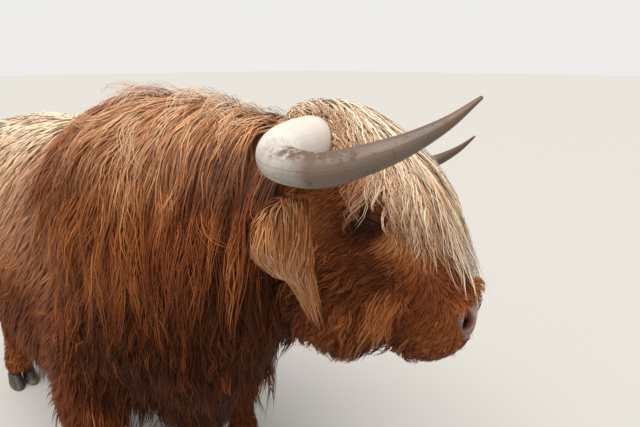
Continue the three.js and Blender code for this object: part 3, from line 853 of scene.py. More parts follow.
def hair_object(name, hair, tone, ash, patch, material):
    """One mesh of flat hairs. Each ends in a point, and has its own small patch of the map."""
    hairs, rings, _ = hair.line.shape
    rungs = rings - 1
    left = hair.line[:, :rungs] - hair.half[:, :rungs]
    right = hair.line[:, :rungs] + hair.half[:, :rungs]
    pairs = np.stack([left, right], axis=2).reshape(hairs, -1, 3)
    points = np.concatenate([pairs, hair.line[:, -1:]], axis=1)
    per = points.shape[1]
    first = np.arange(rungs - 1) * 2
    quads = np.stack([first, first + 1, first + 3, first + 2], axis=1)
    last = 2 * (rungs - 1)
    loops = np.concatenate([quads.ravel(), [last, last + 1, last + 2]])
    base = np.arange(hairs)[:, None]
    all_loops = (loops[None] + base * per).ravel()
    all_starts = (np.arange(rungs)[None] * 4 + base * len(loops)).ravel()

    piece, mesh = open_mesh(name)
    mesh.vertices.add(hairs * per)
    mesh.vertices.foreach_set("co", points.astype(np.float32).ravel())
    mesh.loops.add(len(all_loops))
    mesh.loops.foreach_set("vertex_index", all_loops.astype(np.int32))
    mesh.polygons.add(len(all_starts))
    mesh.polygons.foreach_set("loop_start", all_starts.astype(np.int32))
    mesh.update(calc_edges=True)
    mesh.shade_smooth()

    along = np.concatenate([np.repeat(np.arange(rungs), 2), [rungs]]) / rungs
    across = np.concatenate([np.tile([0.0, 1.0], rungs), [0.5]])

    def spread_out(values):
        """Values for each ring, given to the ring's points."""
        values = np.broadcast_to(values, (hairs, rings))
        return np.concatenate([np.repeat(values[:, :-1], 2, axis=1), values[:, -1:]], axis=1)

    put_attribute(mesh, "tone", spread_out(tone).ravel())
    put_attribute(mesh, "ash", spread_out(ash).ravel())
    put_attribute(mesh, "along", np.tile(along, hairs))
    put_attribute(mesh, "across", np.tile(across, hairs))
    put_attribute(mesh, "strand", np.repeat(np.random.default_rng(hairs).uniform(0, 1, hairs), per))
    corner_along = np.tile(along[loops], hairs)
    corner_across = np.tile(across[loops], hairs)
    low, high = patch.min(axis=0), patch.max(axis=0)
    patch = MAP_EDGE + (1 - 2 * MAP_EDGE) * (patch - low) / (high - low)
    root = np.repeat(patch, len(loops), axis=0)
    spot = np.stack([corner_across, corner_along], axis=1)
    uv = np.clip(root + (spot - 0.5) * HAIR_PATCH, 0, 1)
    layer = mesh.uv_layers.new(name="OFBake")
    layer.data.foreach_set("uv", uv.astype(np.float32).ravel())
    mesh.materials.append(material)
    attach(piece, "root")
    return piece


def round_trunk(points, sign=None):
    """An unwrap of the trunk or neck: along the spine, and round it."""
    axis_y, axis_z = middle("trunk")[1], 0.85
    turn = np.arctan2((points[:, 1] - axis_y) * (sign or 1), points[:, 2] - axis_z)
    return np.stack([points[:, 0], turn], axis=1)


def round_head(points):
    """An unwrap of the head: down the face, and round it."""
    down, off, left = on_head(points).T
    return np.stack([down, np.arctan2(left, off + 0.13)], axis=1)


# ---------------------------------------------------------------- node groups and materials


class Nodes:
    """A short way to place and link shader nodes."""

    def __init__(self, tree):
        self.tree = tree

    def add(self, kind, inputs=(), **options):
        node = self.tree.nodes.new(kind)
        for name, value in options.items():
            setattr(node, name, value)
        for socket, value in dict(inputs).items():
            if isinstance(value, bpy.types.NodeSocket):
                self.tree.links.new(value, node.inputs[socket])
            else:
                node.inputs[socket].default_value = value
        return node

    def value(self, name):
        return self.add("ShaderNodeAttribute", attribute_name=name).outputs["Fac"]

    def math(self, operation, a, b=0.0, c=0.0, clamp=False):
        return self.add(
            "ShaderNodeMath", {0: a, 1: b, 2: c}, operation=operation, use_clamp=clamp
        ).outputs[0]

    def times(self, first, *others):
        """The product of all the values."""
        for other in others:
            first = self.math("MULTIPLY", first, other)
        return first

    def mix(self, share, a, b, blend="MIX"):
        node = self.add("ShaderNodeMix", data_type="RGBA", blend_type=blend)
        for socket, value in ((0, share), (6, a), (7, b)):
            if isinstance(value, bpy.types.NodeSocket):
                self.tree.links.new(value, node.inputs[socket])
            else:
                node.inputs[socket].default_value = value
        return node.outputs[2]

    def span(self, value, low, high, to_low=0.0, to_high=1.0, kind="SMOOTHSTEP"):
        return self.add(
            "ShaderNodeMapRange",
            {
                "Value": value, "From Min": low, "From Max": high,
                "To Min": to_low, "To Max": to_high,
            },
            interpolation_type=kind,
        ).outputs[0]

    def noise(self, scale, detail=3.0, vector=None, rough=0.55, dimensions="3D"):
        inputs = {"Scale": scale, "Detail": detail, "Roughness": rough}
        if vector is not None:
            inputs["Vector"] = vector
        return self.add("ShaderNodeTexNoise", inputs, noise_dimensions=dimensions).outputs["Fac"]

    def ramp(self, value, stops, kind="LINEAR"):
        node = self.add("ShaderNodeValToRGB", {"Fac": value})
        node.color_ramp.interpolation = kind
        elements = node.color_ramp.elements
        for index, (place, shade) in enumerate(stops):
            element = elements[index] if index < 2 else elements.new(place)
            element.position = place
            element.color = opaque(shade)
        return node.outputs["Color"]


def opaque(shade):
    """The colour with full alpha."""
    return (*shade[:3], 1.0)


def new_group(name, inputs, outputs):
    """A node group with these sockets."""
    tree = bpy.data.node_groups.new(name, "ShaderNodeTree")
    for label, kind, default in inputs:
        socket = tree.interface.new_socket(label, in_out="INPUT", socket_type=kind)
        if default is not None:
            socket.default_value = default
    for label, kind in outputs:
        tree.interface.new_socket(label, in_out="OUTPUT", socket_type=kind)
    nodes = Nodes(tree)
    entry = tree.nodes.new("NodeGroupInput").outputs
    leave = tree.nodes.new("NodeGroupOutput").inputs
    return tree, nodes, entry, leave


@lru_cache(maxsize=None)
def coat_colour():
    """Tone and place along the hair, turned into colour, with painted shade at the root: the same
    for the skin and every tuft.
    """
    coat = settings("coat")
    number, shade = "NodeSocketFloat", "NodeSocketColor"
    tree, nodes, entry, leave = new_group(
        "Coat colour",
        [
            ("Tone", number, 0.4), ("Ash", number, 0.0), ("Along", number, 0.5),
            ("Root shade", number, 0.5),
        ],
        [("Color", shade)],
    )
    stops = [
        (0.0, coat.shadow), (0.25, coat.auburn), (0.50, coat.ginger), (0.75, coat.golden),
        (1.0, coat.cream),
    ]
    base = nodes.ramp(entry["Tone"], stops)
    base = nodes.mix(entry["Ash"], base, opaque(coat.ash))
    # Painted shade deep in the coat: the colour darkens towards the root by Root shade.
    root = nodes.span(entry["Along"], 0.0, 0.45, 1.0, 0.0)
    dark = nodes.math("MULTIPLY", root, entry["Root shade"])
    keep = nodes.math("SUBTRACT", 1.0, dark)
    shaded = nodes.add("ShaderNodeVectorMath", {0: base, 3: keep}, operation="SCALE").outputs[0]
    tree.links.new(shaded, leave["Color"])
    return tree


@lru_cache(maxsize=None)
def fine_hair():
    """Close short hair, as height and as a change of tone."""
    number, vector = "NodeSocketFloat", "NodeSocketVector"
    tree, nodes, entry, leave = new_group(
        "Fine hair",
        [("Vector", vector, None), ("Scale", number, 300.0)],
        [("Height", number), ("Change", number)],
    )
    noise = nodes.add(
        "ShaderNodeTexNoise", {"Vector": entry["Vector"], "Scale": entry["Scale"], "Detail": 4.0}
    ).outputs["Fac"]
    tree.links.new(noise, leave["Height"])
    tree.links.new(nodes.math("SUBTRACT", noise, 0.5), leave["Change"])
    return tree


@lru_cache(maxsize=None)
def strands():
    """Strands side by side across a flat hair, as height and as a change of tone."""
    number = "NodeSocketFloat"
    tree, nodes, entry, leave = new_group(
        "Strands",
        [("Along", number, 0.5), ("Across", number, 0.5), ("Strand", number, 0.0)],
        [("Height", number), ("Change", number)],
    )
    own = entry["Strand"]
    place = nodes.add("ShaderNodeCombineXYZ", {
        0: nodes.math("MULTIPLY_ADD", entry["Across"], 4.0, nodes.math("MULTIPLY", own, 83.0)),
        1: nodes.math("MULTIPLY_ADD", entry["Along"], 1.6, nodes.math("MULTIPLY", own, 29.0)),
    }).outputs[0]
    change = nodes.math("SUBTRACT", nodes.noise(1.0, 2.0, place), 0.5)
    aside = nodes.math("SUBTRACT", entry["Across"], 0.5)
    round_top = nodes.math("MULTIPLY", nodes.math("MULTIPLY", aside, aside), -4.0)
    tree.links.new(nodes.math("MULTIPLY_ADD", change, 0.8, round_top), leave["Height"])
    tree.links.new(change, leave["Change"])
    return tree


def new_material(name):
    """A material with only a shader and its output."""
    material = bpy.data.materials.new(name)
    material.use_nodes = True
    tree = material.node_tree
    tree.nodes.clear()
    nodes = Nodes(tree)
    shader = tree.nodes.new("ShaderNodeBsdfPrincipled")
    out = tree.nodes.new("ShaderNodeOutputMaterial")
    tree.links.new(shader.outputs[0], out.inputs["Surface"])
    return material, nodes, shader


def set_inputs(shader, **values):
    """Sets the shader's own sockets, with _ for each space in a name."""
    for name, value in values.items():
        shader.inputs[name.replace("_", " ")].default_value = value


@lru_cache(maxsize=None)
def hair_material(name, roughness, root_shade):
    """Hair, with painted shade at its roots, and streaked along its length."""
    material, nodes, shader = new_material(name)
    links = nodes.tree.links
    along = nodes.value("along")
    streaks = nodes.add("ShaderNodeGroup", {
        "Along": along, "Across": nodes.value("across"), "Strand": nodes.value("strand"),
    }, node_tree=strands())
    tone = nodes.math("MULTIPLY_ADD", streaks.outputs["Change"], 0.22, nodes.value("tone"))
    colours = nodes.add("ShaderNodeGroup", {
        "Tone": tone, "Ash": nodes.value("ash"), "Along": along, "Root shade": root_shade,
    }, node_tree=coat_colour())
    links.new(colours.outputs["Color"], shader.inputs["Base Color"])
    bump = nodes.add("ShaderNodeBump", {
        "Height": streaks.outputs["Height"], "Strength": 0.5, "Distance": 0.0010})
    links.new(bump.outputs[0], shader.inputs["Normal"])
    set_inputs(shader, Roughness=roughness, Specular_IOR_Level=0.11,
               Specular_Tint=(1.0, 0.75, 0.55, 1.0))
    return material


@lru_cache(maxsize=None)
def skin_material():
    """Skin with fine hair, bare and damp on the nose, the lids and in the nostrils."""
    face = settings("face")
    material, nodes, shader = new_material("Skin")
    links = nodes.tree.links
    place = nodes.add("ShaderNodeTexCoord").outputs["Object"]
    fine = nodes.add("ShaderNodeGroup", {"Vector": place, "Scale": 420.0}, node_tree=fine_hair())
    tone = nodes.math("MULTIPLY_ADD", fine.outputs["Change"], 0.30, nodes.value("tone"))
    ash = nodes.value("ash")
    # Painted shade of the coat's depth on the skin between the hairs, less of it where the hair is
    # greyed.
    group = nodes.add("ShaderNodeGroup", {
        "Tone": tone, "Ash": ash, "Along": nodes.span(ash, 0.0, 0.30, 0.0, 0.45),
        "Root shade": 0.30,
    }, node_tree=coat_colour())
    base = group.outputs["Color"]
    pores = nodes.add(
        "ShaderNodeTexVoronoi", {"Vector": place, "Scale": 330.0}, feature="F1"
    ).outputs["Distance"]
    nose = nodes.mix(nodes.span(nodes.noise(38.0, 3.0, place), 0.35, 0.7), opaque(face.nose),
                     opaque([c * 0.45 for c in face.nose]))
    base = nodes.mix(nodes.value("pad"), base, nose)
    base = nodes.mix(nodes.value("rim"), base, opaque(face.lid))
    deep = nodes.value("deep")
    base = nodes.mix(nodes.span(deep, 0.0, 0.30), base, opaque(face.flesh))
    # Painted shade deep in the nostril, by how deep the place is.
    base = nodes.mix(nodes.span(deep, 0.35, 0.95), base, opaque(face.nostril))
    links.new(base, shader.inputs["Base Color"])
    wet = nodes.math("MAXIMUM", nodes.value("pad"), nodes.value("rim"))
    links.new(nodes.span(wet, 0.0, 1.0, 0.75, 0.28, "LINEAR"), shader.inputs["Roughness"])
    pad_height = nodes.math("MULTIPLY", nodes.math("MULTIPLY", pores, nodes.value("pad")), 1.2)
    height = nodes.math("ADD", fine.outputs["Height"], pad_height)
    bump = nodes.add("ShaderNodeBump", {"Height": height, "Strength": 0.7, "Distance": 0.0012})
    links.new(bump.outputs[0], shader.inputs["Normal"])
    set_inputs(shader, Specular_IOR_Level=0.22, Specular_Tint=(1.0, 0.80, 0.65, 1.0))
    return material


# ---------------------------------------------------------------- pieces


class Make:
    """What each making operator shares."""

    bl_options = {"REGISTER", "UNDO"}

    def execute(self, context):
        self.make()
        return {"FINISHED"}


def rng_for(name):
    """Random draws of its own for each piece, the same in every run."""
    return np.random.default_rng([settings("coat").seed, sum(map(ord, name))])


def finish_coat(name, tufts, hair, tone, patch, look, ash=0.0, paler_tips_and_highlight=0.06, vary=0.05,
                tuft_vary=0.04, painted_tuft_shade=0.04):
    """The tones of a coat piece's hairs, and its mesh."""
    rng = tufts.rng
    hairs, rings, _ = hair.line.shape
    s = np.linspace(0, 1, rings)[None]
    own = rng.normal(0, tuft_vary, len(tone))[hair.tuft] + rng.normal(0, vary, hairs)
    # Painted light and shade across each tuft: its high hairs are made lighter and its low ones
    # darker.
    own = own + painted_tuft_shade * hair.rise + 0.16 * tufts.loose[hair.tuft][:, 0]
    # Tips paler than roots: partly the hair's own paler ends, partly a painted highlight along the
    # locks.
    tones = np.clip(tone[hair.tuft] + own[:, None] + paler_tips_and_highlight * (s - 0.4), 0.0, 1.0)
    return hair_object(name, hair, tones, ash, patch, hair_material(*look))


# The materials of the coat: name, roughness, and how much painted shade darkens the roots.
BODY_LOOK = ("Body coat", 0.55, 0.25)
TRUNK_LOOK = ("Trunk coat", 0.55, 0.12)
LOCK_LOOK = ("Long locks", 0.45, 0.22)
FACE_LOOK = ("Face coat", 0.50, 0.20)


class BULL_OT_skin(Make, bpy.types.Operator):
    """Makes the skin from the flesh, inside it by the depth of the coat"""

    bl_idname = "bull.skin"
    bl_label = "Skin"

    def make(self):
        piece = skin_mesh()
        piece.data.materials.append(skin_material())
        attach(piece, "root")
        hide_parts(*FLESH)


class BULL_OT_trunk_coat(Make, bpy.types.Operator):
    """Covers each side of the trunk with tufts that lie back and down"""

    bl_idname = "bull.trunk_coat"
    bl_label = "Trunk coat"

    def make(self):
        coat = settings("coat")
        axis_y = middle("trunk")[1]
        for side, sign in SIDES.items():
            rng = rng_for(f"trunk {side}")

            def density(points, normals):
                own = ease((points[:, 1] - axis_y) * sign, -0.020, 0.008)
                own = own * (tail_core(points) > TAIL_FLESH)
                top = ease(normals[:, 2], 0.20, 0.90)
                return own * body().of(points, "trunk") ** 1.5 * (1 + 1.3 * top)

            def flow(points, up, s):
                out = np.array((0, sign * 0.7, 0)) * ease(up[:, 2:], 0.5, 1.0)
                out = out * ease(np.abs(points[:, 1:2] - axis_y), 0.0, 0.07)
                way = np.array((-0.40, 0, 0)) + FALL * 0.85 + out
                return comb(way, up, points, 0.35, 8.0, 31)

            root, out = sow(6400, density, rng)
            under = ease(root[:, 2], 0.72, 0.48)
            top = ease(out[:, 2], 0.20, 0.95)
            reach = coat.body_length * (1 + 0.7 * under - 0.12 * top)
            reach = reach * rng.uniform(0.75, 1.2, len(root))
            tufts = Tufts(root, out, rng, reach, 3, flow, lift=(0.28 - 0.23 * top)[:, None],
                          wander=0.12, slack=(0.004 + 0.022 * under)[:, None], loose=0.03)
            width = 0.0036 * (1 + 0.9 * top)
            hair = tufts.split(4, 0.011, width, gather=0.4, wave=0.003, turns=0.9)
            finish_coat(f"coat_trunk_{side}", tufts, hair, tufts.tones(0.7),
                        round_trunk(hair.line[:, 0], sign), TRUNK_LOOK,
                        ash=greyed(root, out)[hair.tuft][:, None], vary=0.035, tuft_vary=0.03)


class BULL_OT_mane(Make, bpy.types.Operator):
    """Hangs the long locks of the neck and the withers down each side"""

    bl_idname = "bull.mane"
    bl_label = "Mane"

    def make(self):
        coat = settings("coat")
        withers_x = 0.10
        for side, sign in SIDES.items():
            rng = rng_for(f"mane {side}")

            def spine(points):
                """How far a point is from the line from withers to poll, to this side."""
                t = np.clip((points[:, 0] - withers_x) / (POLL[0] - withers_x), 0, 1)
                line_y = middle("trunk")[1] * (1 - t) + POLL[1] * t
                return (points[:, 1] - line_y) * sign

            def density(points, normals):
                own = ease(spine(points), -0.020, 0.015)
                upper = 0.12 + ease(points[:, 2], 0.88, 1.22)
                upper = upper * (1 + 1.2 * ease(spine(points), 0.14, 0.04))
                withers = body().of(points, "trunk") * ease(points[:, 0], 0.02, 0.22)
                withers = withers * ease(points[:, 2], 0.95, 1.15)
                bare = ease(body().head_share(points), 0.10, 0.40) * ease(points[:, 2], 1.22, 1.12)
                behind_ear = ease(points[:, 0], 0.54, 0.62) * ease(points[:, 2], 1.22, 1.08)
                upper = upper * (1 - 0.5 * behind_ear)
                poll = ease(on_head(points)[:, 0], -0.055, -0.015) * ease(points[:, 2], 1.15, 1.22)
                belongs = body().of(points, "neck") ** 1.3 + withers * 0.9
                return own * upper * (1 - bare) * (1 - poll) * belongs

            def flow(points, up, s):
                x = points[:, :1]
                back = 0.42 * ease(x, 0.52, 0.22) * (1 - 0.5 * s)
                out = np.array((0.0, sign * 1.3, 0.0)) * ease(up[:, 2:], 0.25, 0.95) * (1 - s)
                way = FALL - np.array((1.0, 0, 0)) * back + out
                bend = wavy(points, 7.0, 41) + 0.5 * wavy(points, 19.0, 42)
                return unit(unit(way) + np.cross(up, FALL) * (0.22 * bend)[:, None])

            root, out = sow(800, density, rng)
            high = ease(root[:, 2], 0.85, 1.22)
            behind = ease(root[:, 0], 0.34, 0.16)
            reach = coat.mane_length * (0.42 + 0.80 * high) * (1 - 0.35 * behind)
            reach = reach * rng.uniform(0.55, 1.18, len(root))
            crest = 0.20 * ease(spine(root), 0.08, 0.02) * ease(root[:, 0], 0.58, 0.50)
            tufts = Tufts(root, out, rng, reach, 8, flow, layers=(0.25, 1.05), lift=0.45,
                          wander=0.07, slack=0.010, loose=0.03 + crest)
            hair = tufts.split(13, 0.020, 0.0028, gather=0.80, wave=0.010, turns=1.4, shortest=0.5)
            finish_coat(f"coat_mane_{side}", tufts, hair, tufts.tones(0.30),
                        round_trunk(hair.line[:, 0], sign), LOCK_LOOK,
                        ash=0.10 * ease(hair.line[..., 2], 1.05, 1.22), paler_tips_and_highlight=0.12,
                        tuft_vary=0.085, vary=0.05)


class BULL_OT_breast_coat(Make, bpy.types.Operator):
    """Covers the throat, the brisket and the belly's edge with shaggy hair"""

    bl_idname = "bull.breast_coat"
    bl_label = "Breast coat"

    def make(self):
        rng = rng_for("breast")

        def density(points, normals):
            low = ease(points[:, 2], 1.15, 0.95)
            front = body().of(points, "trunk") * ease(points[:, 0], 0.10, 0.30)
            front = front * ease(points[:, 2], 0.95, 0.75)
            return low * (body().of(points, "neck") + front)

        def flow(points, up, s):
            way = FALL + up * 0.12 + np.array((-0.25, 0, 0)) * (1 - s)
            return comb(way, up, points, 0.40, 9.0, 51) * (1 - 0.6 * s) + FALL * 0.6 * s

        root, out = sow(2900, density, rng)
        low = ease(root[:, 2], 0.62, 0.46)
        reach = 0.125 * (1 + 1.3 * low) * rng.uniform(0.65, 1.3, len(root))
        tufts = Tufts(root, out, rng, reach, 5, flow, wander=0.14,
                      slack=(0.006 + 0.055 * low)[:, None])
        hair = tufts.split(6, 0.014, 0.0034, wave=0.006, turns=1.1)
        finish_coat("coat_breast", tufts, hair, tufts.tones(), round_trunk(hair.line[:, 0]),
                    BODY_LOOK, paler_tips_and_highlight=0.12, tuft_vary=0.06)


class BULL_OT_leg_coat(Make, bpy.types.Operator):
    """Covers the legs with hair that lies down them, longer at the back"""

    bl_idname = "bull.leg_coat"
    bl_label = "Leg coats"

    def make(self):
        coat = settings("coat")
        for pair in ("fore", "hind"):
            rng = rng_for(f"{pair} legs")
            legs = {side: middle(f"{pair}_leg_{side}") for side in SIDES}

            def density(points, normals):
                return body().of(points, f"{pair}_leg") ** 1.2

            def flow(points, up, s):
                way = FALL + np.array((-0.22, 0, 0))
                return comb(way, up, points, 0.20, 12.0, 61)

            root, out = sow(4200, density, rng)
            behind = ease(-out[:, 0], 0.2, 0.9)
            high = ease(root[:, 2], 0.10, 0.55)
            reach = coat.leg_length * (0.6 + 0.8 * high + 0.7 * behind)
            reach = reach * rng.uniform(0.75, 1.2, len(root))
            tufts = Tufts(root, out, rng, reach, 3, flow, lift=0.3, slack=0.005)
            hair = tufts.split(4, 0.008, 0.0030, gather=0.5, wave=0.002, turns=0.8)
            place = hair.line[:, 0]
            on_left = place[:, 1] > (legs["left"][1] + legs["right"][1]) / 2
            centre = np.where(on_left[:, None], legs["left"], legs["right"])
            turn = np.arctan2(place[:, 1] - centre[:, 1], place[:, 0] - centre[:, 0])
            patch = np.stack([turn + on_left * 7.0, place[:, 2]], axis=1)
            finish_coat(f"coat_{pair}_legs", tufts, hair, tufts.tones(), patch, BODY_LOOK)


def before_eye(points):
    """Whether each point is in the gap in the hair that lets the eye see out."""
    seen = np.zeros(len(points), bool)
    for side, sign in SIDES.items():
        out, along, high = eye_axes(sign)
        gap = points - EYES[side]
        t, u, v = gap @ out, gap @ along, gap @ high
        seen |= (t > -0.01) & (t < 0.10) & (np.abs(u) < 0.021) & (np.abs(v) < 0.017)
    return seen


# How far down the face the forelock hangs, by how far off the face it is.
FRINGE_OFF = (-0.12, -0.055, -0.030, 0.0, 0.02)
FRINGE_DOWN = (0.272, 0.290, 0.415, 0.525, 0.560)


def below_fringe(points):
    """Whether each point is lower than the forelock hangs: short beside the eye, long in front."""
    down, off, left = on_head(points).T
    lowest = np.interp(off, FRINGE_OFF, FRINGE_DOWN)
    ragged = 0.030 * wavy(points, 24.0, 83) + 0.075 * wavy(points, 70.0, 84) - 0.010
    return (down > lowest + ragged) | (np.abs(left) > 0.158)


class BULL_OT_face_coat(Make, bpy.types.Operator):
    """Covers each side of the face and the muzzle with short hair that streams back"""

    bl_idname = "bull.face_coat"
    bl_label = "Face coat"

    def make(self):
        for side, sign in SIDES.items():
            rng = rng_for(f"face {side}")

            def density(points, normals):
                own = ease(on_head(points)[:, 2] * sign, -0.004, 0.004)
                small = 1 + 1.3 * body().of(points, "muzzle")
                bare = np.maximum(bare_nose(points), eye_gap(points) < 0.0205)
                return own * body().head_share(points) ** 1.2 * (1 - bare) * small

            def flow(points, up, s):
                down, off, _ = on_head(points).T
                muzzle = ease(down, 0.42, 0.52)[:, None]
                upper = ease(off, -0.06, 0.02)[:, None]
                low = ease(off, -0.10, -0.17)[:, None]
                cheek = -OFF_FACE - DOWN_FACE * 0.10 + FALL * 0.6 * low
                lip = -OFF_FACE + DOWN_FACE * 0.35
                way = (cheek * (1 - muzzle) + lip * muzzle) * (1 - upper) + DOWN_FACE * upper
                return comb(way, up, points, 0.42, 20.0, 71)

            root, out = sow(4700, density, rng)
            down, off, _ = on_head(root).T
            size = 0.036 + 0.018 * ease(off, -0.10, -0.20) - 0.014 * ease(down, 0.46, 0.53)
            reach = size * (0.25 + 0.75 * ease(eye_gap(root), 0.022, 0.050))
            reach = reach * rng.uniform(0.7, 1.25, len(root))
            tufts = Tufts(root, out, rng, reach, 3, flow, lift=0.18, wander=0.12,
                          slack=0.002, deepest=0.012, loose=0.02)
            hair = tufts.split(4, 0.0055, 0.0019, gather=0.4, wave=0.0012, turns=0.8)
            finish_coat(f"coat_face_{side}", tufts, hair, tufts.tones(0.8),
                        round_head(hair.line[:, 0]), FACE_LOOK, paler_tips_and_highlight=0.06,
                        vary=0.035, tuft_vary=0.03)


class BULL_OT_forelock(Make, bpy.types.Operator):
    """Hangs the long fair locks from the poll over the forehead"""

    bl_idname = "bull.forelock"
    bl_label = "Forelock"

    def make(self):
        coat = settings("coat")
        rng = rng_for("forelock")

        def density(points, normals):
            down, off, left = on_head(points).T
            crown = ease(down, -0.18, -0.09) * ease(down, 0.24, 0.12)
            share = body().head_share(points) + 0.5 * body().of(points, "neck")
            beside = 1 - 0.62 * ease(np.abs(left), 0.06, 0.10)
            crown = crown * ease(off, -0.12, -0.03)
            return crown * ease(np.abs(left), 0.135, 0.10) * share * beside

        def flow(points, up, s):
            left = on_head(points)[:, 2]
            aside = ease(np.abs(left), 0.05, 0.12)[:, None]
            front = DOWN_FACE * 0.9 + OFF_FACE * 0.10
            way = front * (1 - 0.40 * s) * (1 - 0.5 * aside) + FALL * (0.25 + 0.7 * s)
            way = way - OFF_FACE * 0.35 * aside
            out = HEAD_LEFT * (np.clip(left, -0.10, 0.10) * 7.5)[:, None] * (1 - s) ** 0.7
            bend = wavy(points, 11.0, 81) + 0.8 * wavy(points, 31.0, 82)
            return unit(unit(way + out) + np.cross(up, DOWN_FACE) * (0.26 * bend)[:, None])

        root, out = sow(640, density, rng)
        down, _, left = on_head(root).T
        aside = ease(np.abs(left), 0.030, 0.100)
        reach = coat.forelock_length * (1.62 - 0.66 * aside) - 0.6 * np.maximum(down, 0)
        reach = reach * rng.uniform(0.75, 1.08, len(root))
        slack = 0.006 + 0.016 * ease(down, 0.20, 0.02)[:, None]
        lift = 0.45 + 0.30 * ease(down, -0.04, -0.13)[:, None]
        tufts = Tufts(root, out, rng, reach, 14, flow, layers=(0.4, 1.2), lift=lift,
                      wander=0.06, slack=slack, loose=0.0)
        tufts.cut(lambda points: before_eye(points) | below_fringe(points))
        tufts.keep *= rng.uniform(0.80, 1.04, len(root))
        hair = tufts.split(11, 0.015, 0.0025, gather=0.90, wave=0.013, turns=2.7, shortest=0.50)
        stripes = wavy(on_head(root) * (0.35, 0.0, 1.0), 110.0, 85) * ease(down, -0.02, 0.10)
        fair = 0.71 + 0.18 * stripes - 0.36 * aside + 0.12 * ease(down, 0.12, 0.0)
        tone = np.clip(tufts.tones(0.3) * 0.30 + fair[:, None], 0, 1)
        s = np.linspace(0, 1, hair.line.shape[1])
        grey = rng.uniform(0, 1, len(root))[hair.tuft] ** 1.5
        ash = 0.25 + ease(s, 0.50, 1.0)[None] * grey[:, None] * 0.6
        ash = ash * (1 - 0.7 * aside[hair.tuft][:, None])
        finish_coat("coat_forelock", tufts, hair, tone, round_head(hair.line[:, 0]), LOCK_LOOK,
                    ash=ash, paler_tips_and_highlight=0.04, tuft_vary=0.11, vary=0.04)


class BULL_OT_beard(Make, bpy.types.Operator):
    """Hangs wavy locks from the cheek and the jaw"""

    bl_idname = "bull.beard"
    bl_label = "Beard"

    def make(self):
        rng = rng_for("beard")

        def streak(points):
            """Where the longest and fairest locks of the cheek start."""
            down, off, _ = on_head(points).T
            return near(down, 0.405, 0.024) * near(off, -0.100, 0.035)

        def curl(points):
            """Where a curl stands on the end of the nose."""
            place, reach = np.array((0.490, 0.035, 0.0)), np.array((0.012, 0.030, 0.018))
            return near(on_head(points), place, reach).prod(axis=1)

        def density(points, normals):
            down, off, _ = on_head(points).T
            jaw = ease(off, -0.10, -0.16) * ease(down, 0.20, 0.30) * ease(down, 0.58, 0.50)
            return (jaw + 2.2 * streak(points) + 6.0 * curl(points)) * body().head_share(points)

        def flow(points, up, s):
            way = FALL * (0.6 + 0.5 * s) - DOWN_FACE * 0.30 * (1 - s) - OFF_FACE * 0.2 + up * 0.03
            way = way + (OFF_FACE * 2.0 - FALL * 0.5) * curl(points)[:, None]
            return comb(way, up, points, 0.45, 16.0, 91)

        root, out = sow(900, density, rng)
        fair = streak(root)
        notch = near(on_head(root)[:, 0], 0.485, 0.035) * (1 - fair)
        reach = (0.058 + 0.130 * fair + 0.052 * notch) * rng.uniform(0.6, 1.25, len(root))
        reach = np.where(curl(root) > 0.2, 0.042, reach)
        tufts = Tufts(root, out, rng, reach, 6, flow, layers=(0.4, 1.2), lift=0.45,
                      wander=0.10, slack=0.010, loose=0.0)
        hair = tufts.split(7, 0.008, 0.0023, gather=0.75, wave=0.006, turns=1.4)
        tone = tufts.tones() + 0.30 * fair[:, None] + 0.20 * curl(root)[:, None]
        finish_coat("coat_beard", tufts, hair, tone, round_head(hair.line[:, 0]), LOCK_LOOK,
                    paler_tips_and_highlight=0.20, tuft_vary=0.06)


class BULL_OT_lashes(Make, bpy.types.Operator):
    """Hangs long dark lashes over both eyes"""

    bl_idname = "bull.lashes"
    bl_label = "Lashes"

    def make(self):
        rng = rng_for("lashes")
        each, rings = 70, 6
        lines, halves = [], []
        s = np.linspace(0, 1, rings)[None, :, None]
        for side, sign in SIDES.items():
            out, along, high = eye_axes(sign)
            place = np.linspace(-0.85, 0.95, each) + rng.normal(0, 0.03, each)
            u = place * SLIT_LONG
            v = SLIT_HIGH * (1 - place**2) * 0.9 - SLIT_DROP + 0.0015
            t = np.sqrt(np.maximum(LID_RADIUS**2 - u**2 - v**2, 0)) - 0.0015
            root = EYES[side] + u[:, None] * along + v[:, None] * high + t[:, None] * out
            size = (rng.uniform(0.6, 1.15, each) * 0.023)[:, None, None]
            reach = out * 0.75 - high * 0.15 + along * (0.35 * place)[:, None]
            reach = reach + rng.normal(0, 0.10, (each, 3))
            line = root[:, None] + size * (reach[:, None] * s + (FALL * 0.85 + high * 0.1) * s**2)
            flat = unit(np.cross(np.gradient(line, axis=1), out))
            lines.append(line)
            halves.append(flat * 0.00055 * (1 - 0.7 * s))
        line = np.concatenate(lines)
        hair = Hairs(line, np.concatenate(halves), np.zeros(len(line), int), np.zeros(len(line)))
        patch = round_head(line[:, 0])
        hair_object("coat_lashes", hair, 0.0, 0.0, patch, hair_material(*FACE_LOOK))


